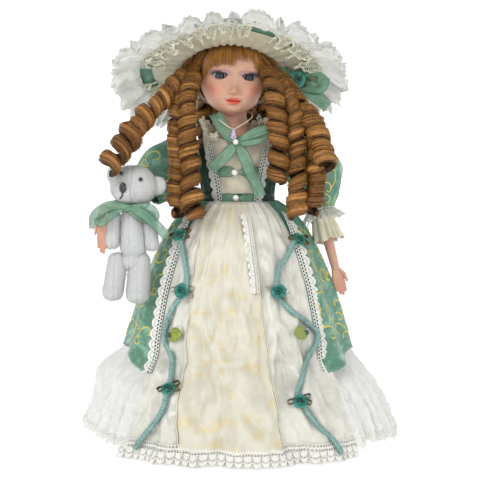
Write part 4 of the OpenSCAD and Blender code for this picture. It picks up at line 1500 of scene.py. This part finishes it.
def chest(x, z, out=0.0):
    """Point on the front of the bodice at x across."""
    r = bodice_r(z) + out
    t = clamp(x / r, -0.98, 0.98)
    return Vector((x, -0.74 * r * sqrt(1 - t * t) - 0.5 * bump(z, 264, 12) * bump(abs(x), 13, 11), z))


def body_round(a, z, out=0.0):
    r = bodice_r(z) + out
    w = radians(a)
    return Vector((r * sin(w), -0.74 * r * cos(w), z))


def bodice():
    # The bodice is green brocade. Drawing it in the darker green paints shade on its sides.
    shell = Mesh().grid(240, 60, lambda u, v: body_round(
        360 * u, mix(284, 223, v), 0.4 - 2.6 * smooth(cos(TAU * u), 0.2, 0.6) + 0.35 * sin(180 * u)),
                        wrap=True, uv=lambda u, v: (u * 210, v * 60))
    back = thicken(shell.make("bodice_brocade", "dark_green", "doll", "green_brocade"), 0.8, -1)
    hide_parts("bodice")

    def plastron(u, v):
        top = 279 + 15 * abs(2 * u - 1) ** 1.6
        z = mix(top, 225, v)
        half = mix(33, 21, smooth(287 - z, 0, 62) * 0.5 + clamp((287 - z) / 62) * 0.5)
        x = mix(-half, half, u)
        crease = (1.3 * sin(v * 19 + 0.8 * sin(u * 6) + 1.5 * (u - 0.5)) * smooth(v, 0.42, 0.62)
                  * bump(u, 0.5, 0.3))
        crease += 0.9 * sin(u * 22 + v * 5) * (1 - smooth(v, 0.2, 0.5))
        p = chest(x, min(z, 284), 1.5 + 0.8 * crease)
        return (p.x, p.y + 0.35 * max(0.0, z - 284), z)

    front = thicken(Mesh().grid(130, 120, plastron, uv=lambda u, v: (u * 60, v * 62)).make(
        "plastron_satin", "plastron", "doll", "ivory_satin"), 0.6, -1)
    for side, tag in ((1, "left"), (-1, "right")):
        rows = [(side * x, z) for x, z in ((24.5, 282), (22.3, 272), (19.3, 258), (16.3, 244), (14.5, 232),
                                           (13.8, 224))]
        lace = lace_strip(f"bodice_lace_{tag}", rows, 10.5, 9.6, lambda x, z, o: chest(x, z, 3.0 + o), side,
                          0.32, "dark_green")
    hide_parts("bodice_lace")

    sash = Mesh().grid(200, 26, lambda u, v: body_round(360 * u, mix(232.5, 222.5, v),
                                                        1.4 + 0.9 * sin(v * 9 + 3 * sin(TAU * u * 3)) * 0.5),
                       wrap=True, uv=lambda u, v: (u * 210, v * 10))
    tie = thicken(sash.make("waist_sash_green", "dark_green", "doll", "green_brocade"), 0.6)
    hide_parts("waist_sash")

    tapes, cords = Mesh(), Mesh()
    for z, half, sag in ((252, 23.5, 1.2), (228.5, 21.5, -0.6)):
        for side in (-1, 1):
            pts = [chest(side * mix(0.6, half, t), z + sag * sin(pi * t) - 0.8 * t, 4.6 - 1.2 * t) for t in
                   (0, 0.15, 0.3, 0.45, 0.6, 0.75, 0.9, 1)]
            ribbon(tapes, cords, pts, 9.4, (0.3 * side, -1, 0.0), wave=0.5, taper=0.62)
    across = tapes.make("bodice_ribbons_organza", "green_organza", "doll", "green_organza")
    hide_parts("bodice_ribbons")

    bow = Mesh()
    knot = Vector((-2, -33, 280))
    spans = [([knot, (-10, -31.5, 288), (-16, -26, 297), (-21, -17, 306)], 11.5, 0.55),
             ([knot, (8, -35, 285), (20, -37, 290), (31, -36, 292), (24, -35, 286), (12, -34.5, 281), knot],
              9.0, 0.5),
             ([knot, (-8, -36.5, 271), (-17, -36.5, 262), (-25, -34.5, 255)], 10.0, 0.6),
             ([knot, (5, -38, 268), (11, -38.5, 254), (18, -37, 238), (21, -36.5, 230)], 10.5, 0.6)]
    for pts, width, taper in spans:
        ribbon(bow, cords, pts, width, (0.1, -1, 0.15), wave=0.9, taper=taper)
    tied = bow.make("neck_bow_organza", "green_organza", "doll", "green_organza")
    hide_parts("neck_bow")
    cords.make("ribbon_selvedge", "dark_green", "doll", "green_organza")

    def collar(u, v):
        a = mix(30, 330, u)
        w = radians(a)
        front = smooth(cos(w), 0.1, 0.85)
        gather = sin(w * 40) * 1.5 * v
        r = mix(27, 33.5, v) + gather + 5.5 * front * (1 - v)
        z = mix(281, 303, v) - 15 * v * front + 2.0 * v * sin(w * 9)
        return (-2 + r * sin(w), 2 - 0.84 * r * cos(w) - 3.0 * front * (1 - v), z)

    frill = Mesh().grid(760, 44, collar, keep=lambda u, v: lace_mask(u * 150, v * 20, 20, 7),
                        uv=lambda u, v: (u * 150, v * 20))
    neckline = thicken(soften_edges(frill.make("collar_lace_frill", "cream_lace", "doll", "cream_lace"), 1),
                       0.3)
    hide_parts("collar_lace")

    gems = Mesh().ball((-2, -38.2, 280), (2.6, 2.4, 2.5), 28, 18)
    gems.ball(chest(0, 252, 5.2) + Vector((-3, 0, 0)), (2.9, 2.7, 2.9), 28, 18)
    gems.ball(chest(0, 228.5, 5.2) + Vector((-2, 0, 0)), (2.9, 2.7, 2.9), 28, 18)
    pearls = gems.make("bodice_pearls", "pearl", "doll", "pearl")
    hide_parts("pearls")

    chain = Mesh()
    loop = [(-4.0, -36.4, 291.5), (1.5, -34.5, 294.5), (8.5, -27, 299), (13, -14, 303), (12.6, 2, 307.5),
            (7, 12, 309), (-3, 15.5, 309.5), (-13, 12, 309), (-18.5, 2, 307.5), (-19, -14, 303),
            (-15.5, -27, 299), (-9.5, -34.5, 294.5), (-4.0, -36.4, 291.5)]
    for p in curve_through(loop, 170):
        chain.ball(p, (0.45,) * 3, 8, 6)
    beads = chain.make("necklace_beads", "bead", "doll", "gilt_beads")
    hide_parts("necklace_chain")
    hang = Vector((-4.0, -37.6, 290))
    drop = Mesh().ball(hang, (1.7, 1.4, 1.7), 14, 8)
    for dx, dz, size in ((0, -3.2, 2.3), (-1.6, -5.6, 1.3), (1.5, -5.6, 1.3), (0, -7.0, 1.0)):
        drop.ball(hang + Vector((dx, -0.6, dz)), (size, 0.7 * size, size), 8, 6)
    gem = drop.make("pendant_crystal", "crystal", "doll", "crystal", flat=True)
    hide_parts("pendant")


# ---------------------------------------------------------------- sleeves and arms

ARMS = {
    "right": {"top": (-44, 2, 268), "elbow": (-86, -12, 230), "wrist": (-122.5, -57, 219),
              "tips": (-121.5, -61, 179),
              "puff": [(-36, 2, 270), (-50, 2, 266), (-64, -1, 256), (-76, -6, 242), (-84, -11, 231)],
              "wide": [16, 22, 26, 24, 13], "cuff": (12, 26)},
    "left": {"top": (44, 2, 268), "elbow": (75, -2, 226), "wrist": (91, -14, 163), "tips": (97, -19, 138),
             "puff": [(36, 2, 270), (52, 2, 268), (67, 1, 256), (75, -1, 240), (77, -2, 224), (77, -3, 216)],
             "wide": [14, 20, 24.5, 25, 19, 10], "cuff": (15, 40)},
}


def sleeve(tag):
    arm = ARMS[tag]
    body = f"{tag}_arm"
    rows = frames_along(curve_through(arm["puff"], 101), (0, -1, 0.05))
    wide = arm["wide"]

    def radius(v):
        t = v * (len(wide) - 1)
        i = min(int(t), len(wide) - 2)
        k = t - i
        return mix(wide[i], wide[i + 1], k * k * (3 - 2 * k) * 0.5 + k * 0.5)

    def at(u, v, out=0.0):
        p, t, side, o = rows[int(round(v * 100))]
        a = TAU * u
        gather = 1.1 * sin(a * 17 + 2 * sin(a * 2)) * (1 - smooth(v, 0.05, 0.35) + smooth(v, 0.68, 0.97))
        crease = 2.3 * wobble(cos(a) * 1.7, sin(a) * 1.7, v * 4.2) + 1.4 * sin(a * 3 + v * 9)
        r = radius(v) + gather + crease * sin(pi * v) + out
        return p + side * (r * cos(a)) + o * (r * sin(a))

    shell = Mesh().grid(220, 100, at, wrap=True, uv=lambda u, v: (u * 140, v * 78))
    obj = thicken(shell.make(f"{tag}_sleeve_brocade", "brocade", body, "green_brocade"), 0.7, -1)
    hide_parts(f"{tag}_sleeve")

    def spot_on(x, y):
        u, v = x / 140, y / 78
        p = at_smooth(u, v)
        n = (at_smooth(u + 0.01, v) - at_smooth(u - 0.01, v)).cross(
            at_smooth(u, v + 0.03) - at_smooth(u, v - 0.03)).normalized()
        axis = rows[int(clamp(round(v * 100), 0, 100))][0]
        return p, (n if n.dot(p - axis) > 0 else -n)

    def at_smooth(u, v):
        v = clamp(v)
        f = v * 100
        i = min(int(f), 99)
        return at(u, i / 100).lerp(at(u, (i + 1) / 100), f - i)

    gold_lines(f"{tag}_sleeve_gold", gold_figure(random.Random(len(tag)), 140, 78, 24), spot_on,
               lambda x, y: 2 < y < 74, body, width=1.0)

    elbow, wrist = Vector(arm["elbow"]), Vector(arm["wrist"])
    axis = (wrist - elbow).normalized()
    side = axis.cross(Vector((0, -1, 0.3))).normalized()
    up = side.cross(axis)

    def cuff_at(u, v, reach, r0, r1, waves, deep):
        a = TAU * u
        fold = sin(a * waves + 1.5 * sin(a * 3)) * deep * v
        r = mix(r0, r1, v) + fold
        s = reach[0] + (reach[1] - reach[0]) * v + 1.2 * v * sin(a * waves * 0.5)
        return elbow + axis * s + (side * cos(a) + up * sin(a)) * r

    a0, a1 = arm["cuff"]
    frill = Mesh().grid(560, 26, lambda u, v: cuff_at(u, v, (a0 - 8, a0 + 5), 10,
                                                      20 if tag == "left" else 15, 19, 2.4),
                        keep=lambda u, v: lace_mask(u * 130, v * 13, 13, 6.5), wrap=True,
                        uv=lambda u, v: (u * 130, v * 13))
    thicken(soften_edges(frill.make(f"{tag}_sleeve_lace", "lace", body, "white_lace"), 1), 0.3)
    tube = Mesh().grid(260, 44, lambda u, v: cuff_at(u, v, (a0 - 2, a1), 9, 14 if tag == "left" else 11, 13,
                                                     1.6),
                       wrap=True, uv=lambda u, v: (u * 70, v * 26))
    cuff = thicken(tube.make(f"{tag}_cuff_cloth", "cuff", body, "ivory_satin"), 0.5)
    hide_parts(f"{tag}_cuff")


def hand(tag):
    """Forearm, palm and five fingers in one skin."""
    arm = ARMS[tag]
    elbow, wrist, tips = Vector(arm["elbow"]), Vector(arm["wrist"]), Vector(arm["tips"])
    start = elbow + (wrist - elbow).normalized() * 9
    reach = tips - wrist
    length = reach.length
    along = reach.normalized()
    palm_out = Vector((0.25 if tag == "left" else -0.35, -1, 0.1))
    across = along.cross(palm_out).normalized()
    depth = across.cross(along)
    scale = length / 38
    wide = 0.92 if tag == "left" else 0.78
    parts = [(start, wrist, 6.4, 3.9)]

    def spot_at(a, b, c=0.0):
        return wrist + along * (a * scale) + across * (b * wide) + depth * (c * wide)

    for b in (-3.2, -1.1, 1.1, 3.2):
        parts.append((spot_at(0, b * 0.35), spot_at(16, b * 1.3, -0.6), 3.0 * wide, 2.2 * wide))
    for b, long_, bend in ((-4.6, 16, 2.0), (-1.6, 20, 1.4), (1.5, 19, 2.2), (4.6, 15, 3.4)):
        knee = 16 + long_ * 0.5
        parts.append((spot_at(15, b), spot_at(knee, b * 1.06, bend * 0.4), 1.9 * wide, 1.8 * wide))
        parts.append((spot_at(knee, b * 1.06, bend * 0.4), spot_at(17 + long_, b * 0.92, bend), 1.8 * wide,
                      1.5 * wide))
    flip = 1 if tag == "left" else -1
    parts.append((spot_at(3, -2.6 * flip, 1), spot_at(11, -6.8 * flip, 2.4), 2.2 * wide, 1.9 * wide))
    parts.append((spot_at(11, -6.8 * flip, 2.4), spot_at(21, -7.8 * flip, 3.8), 1.9 * wide, 1.3 * wide))
    obj = fused(f"{tag}_forearm_bisque", parts, 0.42, "bisque", f"{tag}_arm", "bisque", relax=3)

    def tint(x, y, z):
        d = (Vector((x, y, z)) - wrist).dot(along) / length
        return tuple(0.86 * x for x in blend_color(SKIN, BLUSH, 0.06 + 0.30 * smooth(d, 0.35, 1.0)))

    paint(obj, tint)
    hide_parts(f"{tag}_forearm")
    return obj


# Surfaces for the CAD solids that stay as they are.
PLAIN_NODES = {
    "enamel": ["stand_base"],
    "steel": ["stand_tube", "stand_rod", "stand_clip"],
    "linen": ["torso", "right_upper_arm", "left_upper_arm", "right_upper_leg", "left_upper_leg"],
    "bisque_plain": ["right_lower_leg", "left_lower_leg"],
    "leather": ["right_shoe", "left_shoe"],
    "card": ["head_pate"],
}


# ---------------------------------------------------------------- bear

BEAR_AT = Vector((-97, -56, 0))
BEAR_PARTS = {
    "bear_head_plush": ("bear_head", "bear",
                        [((2.5, 0, 240.5), (21, 17.5, 18.6)), ((-4, -12.5, 235.5), (10.4, 8.6, 9.4)),
                                              ((-5, -16, 234), (7, 6, 6.5))]),
    "bear_body_plush": ("bear_body", "bear",
                        [((1.5, 0, 214), (2.5, 0, 186), 9.6, 12.4), ((2, 0, 172), (12.5, 10.5, 9))]),
    "bear_right_arm_plush": ("bear_right_arm", "bear_right_arm_body",
                             [((-15.0, 0, 212), (-16.6, -3, 190), 6.3, 7.0)]),
    "bear_left_arm_plush": ("bear_left_arm", "bear_left_arm_body",
                            [((16.5, 0, 212), (19, -3, 188), 6.4, 6.8)]),
    "bear_right_leg_plush": ("bear_right_leg", "bear_right_leg_body",
                             [((-12, 0, 172), (-15.5, -3, 148), 8.6, 9.4),
                                                                      ((-16, -5, 144), (9.2, 9.4, 7.6))]),
    "bear_left_leg_plush": ("bear_left_leg", "bear_left_leg_body", [((8, 0, 172), (6.6, -3, 146), 9.6, 10.6),
                                                                   ((6.4, -5, 142), (10.4, 10.4, 7.8))]),
}


def bear():
    plush = []
    for name, (node_name, body, parts) in BEAR_PARTS.items():
        shifted = []
        for part in parts:
            if len(part) == 2:
                shifted.append((Vector(part[0]) + BEAR_AT, part[1]))
            else:
                shifted.append((Vector(part[0]) + BEAR_AT, Vector(part[1]) + BEAR_AT, part[2], part[3]))
        if name == "bear_head_plush":
            for x, z in ((-13.5, 250.0), (24.0, 240.5)):
                shifted.append((Vector((x, 2.5, z)) + BEAR_AT, (8.4, 4.2, 8.6)))
        obj = fused(name, shifted, 0.85, "plush", body, "plush", relax=6)
        stitch(obj, name)
        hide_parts(node_name)
        plush.append(obj)

    for obj in plush:
        pile_of(obj)

    face = Mesh()
    nose = BEAR_AT + Vector((-5.2, -21.9, 239.2))
    face.ball(nose, (3.3, 1.9, 4.9), 20, 12)
    for pts in ([(-5.4, -22.2, 235.0), (-5.8, -22.3, 231.6)],
                [(-5.8, -22.2, 231.8), (-7.2, -21.6, 230.0), (-8.0, -20.8, 229.2)]):
        face.tube([BEAR_AT + Vector(p) for p in pts], 0.7, 6)
    for x, y, z in ((-7.0, -15.6, 252.0), (10.4, -16.2, 246.6)):
        face.ball(BEAR_AT + Vector((x, y, z)), (1.9, 1.5, 1.9), 16, 10)
    beads = face.make("bear_face_beads", "black", "bear", "black_plastic")
    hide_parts("bear_face")

    tapes, cords = Mesh(), Mesh()
    knot = BEAR_AT + Vector((0, -14.0, 221.5))
    for steps, width in (([(0, 0, 0), (-10, -2, 2), (-21, -1, 0), (-31, 6, -8), (-32.5, 12, -20)], 9),
                         ([(-31, 6, -10), (-26, 1, -14), (-18, -1, -8), (-8, -1, -1), (0, 0, 0)], 7),
                         ([(0, 0, 0), (9, -2, 0), (19, 1, -2), (22, 3, -9), (14, 0, -10), (0, 0, 0)], 9),
                         ([(0, 0, 0), (11, -3, -5), (22, -1, -14), (33, 4, -26)], 8.5)):
        ribbon(tapes, cords, around(knot, steps), width, (0.05, -1, 0.25), wave=0.8, taper=0.45)
    loop = [BEAR_AT + Vector((-1 + 11.6 * sin(a), -0.6 - 10.9 * cos(a), 222.4)) for a in
            [TAU * k / 24 for k in range(25)]]
    ribbon(tapes, cords, loop, 5, lambda i: (sin(TAU * i / 69), -cos(TAU * i / 69), 0), wave=0.5)
    tied = tapes.make("bear_ribbon_organza", "green_organza", "bear", "green_organza")
    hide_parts("bear_ribbon")
    cords.make("bear_ribbon_selvedge", "dark_green", "bear", "green_organza")


def stitch(obj, name):
    """Presses a sewn seam down the middle of a plush piece."""
    xs = [v.co.x for v in obj.data.vertices]
    mid = (min(xs) + max(xs)) / 2
    if "head" in name or "body" in name:
        mid = BEAR_AT.x * MM + (0.002 if "head" in name else -0.001)
    normals = [v.normal.copy() for v in obj.data.vertices]
    for v, n in zip(obj.data.vertices, normals):
        v.co -= n * (0.0008 * exp(-((v.co.x - mid) / 0.0009) ** 2))
        v.co += n * (0.0004 * wobble(v.co.x * 90, v.co.y * 90, v.co.z * 90))


def pile_of(obj):
    """Short fibres standing on a plush piece."""
    rng = random.Random(len(obj.name) * 13)
    shape = Mesh()
    mesh = obj.data
    mesh.calc_loop_triangles()
    for poly in mesh.polygons:
        for _ in range(2):
            if rng.random() > 0.8:
                continue
            p = Vector(poly.center) / MM + Vector((rng.uniform(-0.4, 0.4), rng.uniform(-0.4, 0.4),
                                                   rng.uniform(-0.4, 0.4)))
            n = Vector(poly.normal)
            d = (n + Vector((rng.uniform(-0.5, 0.5), rng.uniform(-0.5, 0.5),
                             rng.uniform(-0.7, 0.3)))).normalized()
            across = d.cross(Vector((rng.uniform(-1, 1), rng.uniform(-1, 1), 0.3))).normalized() * 0.09
            base = len(shape.verts)
            tip = p + d * rng.uniform(0.7, 1.25)
            shape.verts += [tuple(p + across), tuple(p - across), tuple(tip)]
            shape.uvs += [(0, 0), (1, 0), (0, 1)]
            shape.faces.append((base, base + 1, base + 2))
    rides = BEAR_PARTS[obj.name][1]
    shape.make(obj.name.replace("_plush", "_pile"), "plush", rides, "plush", tidy=False)


# ---------------------------------------------------------------- gold scrolls on the overskirt

def overskirt_gold():
    width = radians(360 - 2 * PANEL) * 84

    def spot_on(x, y):
        z = 222 - y
        a = PANEL + (360 - 2 * PANEL) * x / width
        p = gown(a, z, 0.0)
        n = (gown(a + 0.3, z) - p).cross(gown(a, z + 0.5) - p).normalized()
        return p, (n if n.dot(Vector((p.x, p.y, 0))) > 0 else -n)

    gold_lines("overskirt_gold_thread", gold_figure(random.Random(31), width, 136, 23), spot_on,
               lambda x, y: 4 < x < width - 4 and 2 < y < 133, "doll", width=1.2)


# ---------------------------------------------------------------- put together

skirts()
flounce()
gown_laces()
overskirt_gold()
garlands()
head()
eyes()
hair()
hat_pieces()
bodice()
for tag in ("right", "left"):
    sleeve(tag)
    hand(tag)
bear()

# Each cloth piece: width and length of the cut in metres, its flat area where it is no rectangle,
# how it is held, what it rests on, what goes with it.
SHEETS = {
    "skirt_front_satin": (0.26, 0.26, 0.045, "gathered", ["petticoat_cotton"], ["hem_lace_scallops"]),
    "skirt_front_stripe": (0.11, 0.24, 0.0174, "gathered", ["skirt_front_satin"], ["stripe_cords"]),
    "overskirt_brocade": (0.60, 0.17, 0.064, "gathered", ["petticoat_cotton"], ["overskirt_gold_thread"]),
    "petticoat_cotton": (0.80, 0.24, 0.133, "gathered", ["torso"], []),
    "flounce_organza": (1.05, 0.09, None, "gathered", ["petticoat_cotton"], ["flounce_lace"]),
    "seam_lace_left": (0.16, 0.0135, None, "gathered", ["overskirt_brocade"], ["seam_lace_left_backing"]),
    "seam_lace_right": (0.16, 0.0135, None, "gathered", ["overskirt_brocade"], ["seam_lace_right_backing"]),
    "stripe_lace_left": (0.08, 0.01, None, "laid", ["skirt_front_satin"], []),
    "bodice_brocade": (0.24, 0.065, 0.0123, "stretched", ["torso"], []),
    "plastron_satin": (0.065, 0.07, 0.0038, "gathered", ["bodice_brocade"], []),
    "bodice_lace_left": (0.062, 0.0105, None, "laid", ["bodice_brocade"], ["bodice_lace_left_backing"]),
    "bodice_lace_right": (0.062, 0.0105, None, "laid", ["bodice_brocade"], ["bodice_lace_right_backing"]),
    "collar_lace_frill": (0.20, 0.022, 0.0027, "gathered", ["bodice_brocade"], []),
    "waist_sash_green": (0.21, 0.01, None, "stretched", ["bodice_brocade"], []),
    "bodice_ribbons_organza": (0.10, 0.01, None, "laid", ["plastron_satin"], []),
    "neck_bow_organza": (0.20, 0.0105, None, "hung", ["bodice_brocade"], ["ribbon_selvedge"]),
    "right_sleeve_brocade": (0.16, 0.09, 0.0105, "gathered", ["right_upper_arm"], ["right_sleeve_gold"]),
    "left_sleeve_brocade": (0.16, 0.09, 0.0117, "gathered", ["left_upper_arm"], ["left_sleeve_gold"]),
    "right_sleeve_lace": (0.12, 0.0135, None, "gathered", ["right_cuff_cloth"], []),
    "left_sleeve_lace": (0.14, 0.0135, None, "gathered", ["left_cuff_cloth"], []),
    "right_cuff_cloth": (0.075, 0.019, None, "gathered", ["right_forearm"], []),
    "left_cuff_cloth": (0.085, 0.03, None, "gathered", ["left_forearm"], []),
    "hat_crown_brocade": (0.13, 0.13, 0.0118, "stretched", ["hat_brim_brocade"], ["hat_gold_thread"]),
    "hat_brim_brocade": (0.19, 0.19, 0.0209, "stretched", ["wig_cap_hair"], []),
    "hat_lining_satin": (0.48, 0.046, 0.0130, "gathered", ["hat_brim_brocade"], []),
    "hat_ruffle_organza": (2.00, 0.027, None, "gathered", ["hat_brim_brocade"], ["hat_ruffle_lace"]),
    "hat_cream_lace": (0.60, 0.02, 0.0085, "gathered", ["hat_lining_satin"], []),
    "hat_bow_organza": (0.20, 0.012, None, "hung", ["hat_lining_satin"], ["hat_bow_selvedge"]),
    "bear_ribbon_organza": (0.24, 0.01, None, "hung", ["bear_body_plush"], ["bear_ribbon_selvedge"]),
}
for name, (width, length, area, held, under, going) in SHEETS.items():
    [bpy.data.objects[n] for n in going]
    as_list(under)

MAT["bisque_plain"] = cloth("bisque_leg", (0.64, 0.42, 0.34), (0.70, 0.46, 0.37), 0.42, 0.5, 0.02, sheen=0.0)
for key, node_names in PLAIN_NODES.items():
    for node_name in node_names:
        for slot in frame["nodes"][node_name].material_slots:
            slot.material = MAT[key]
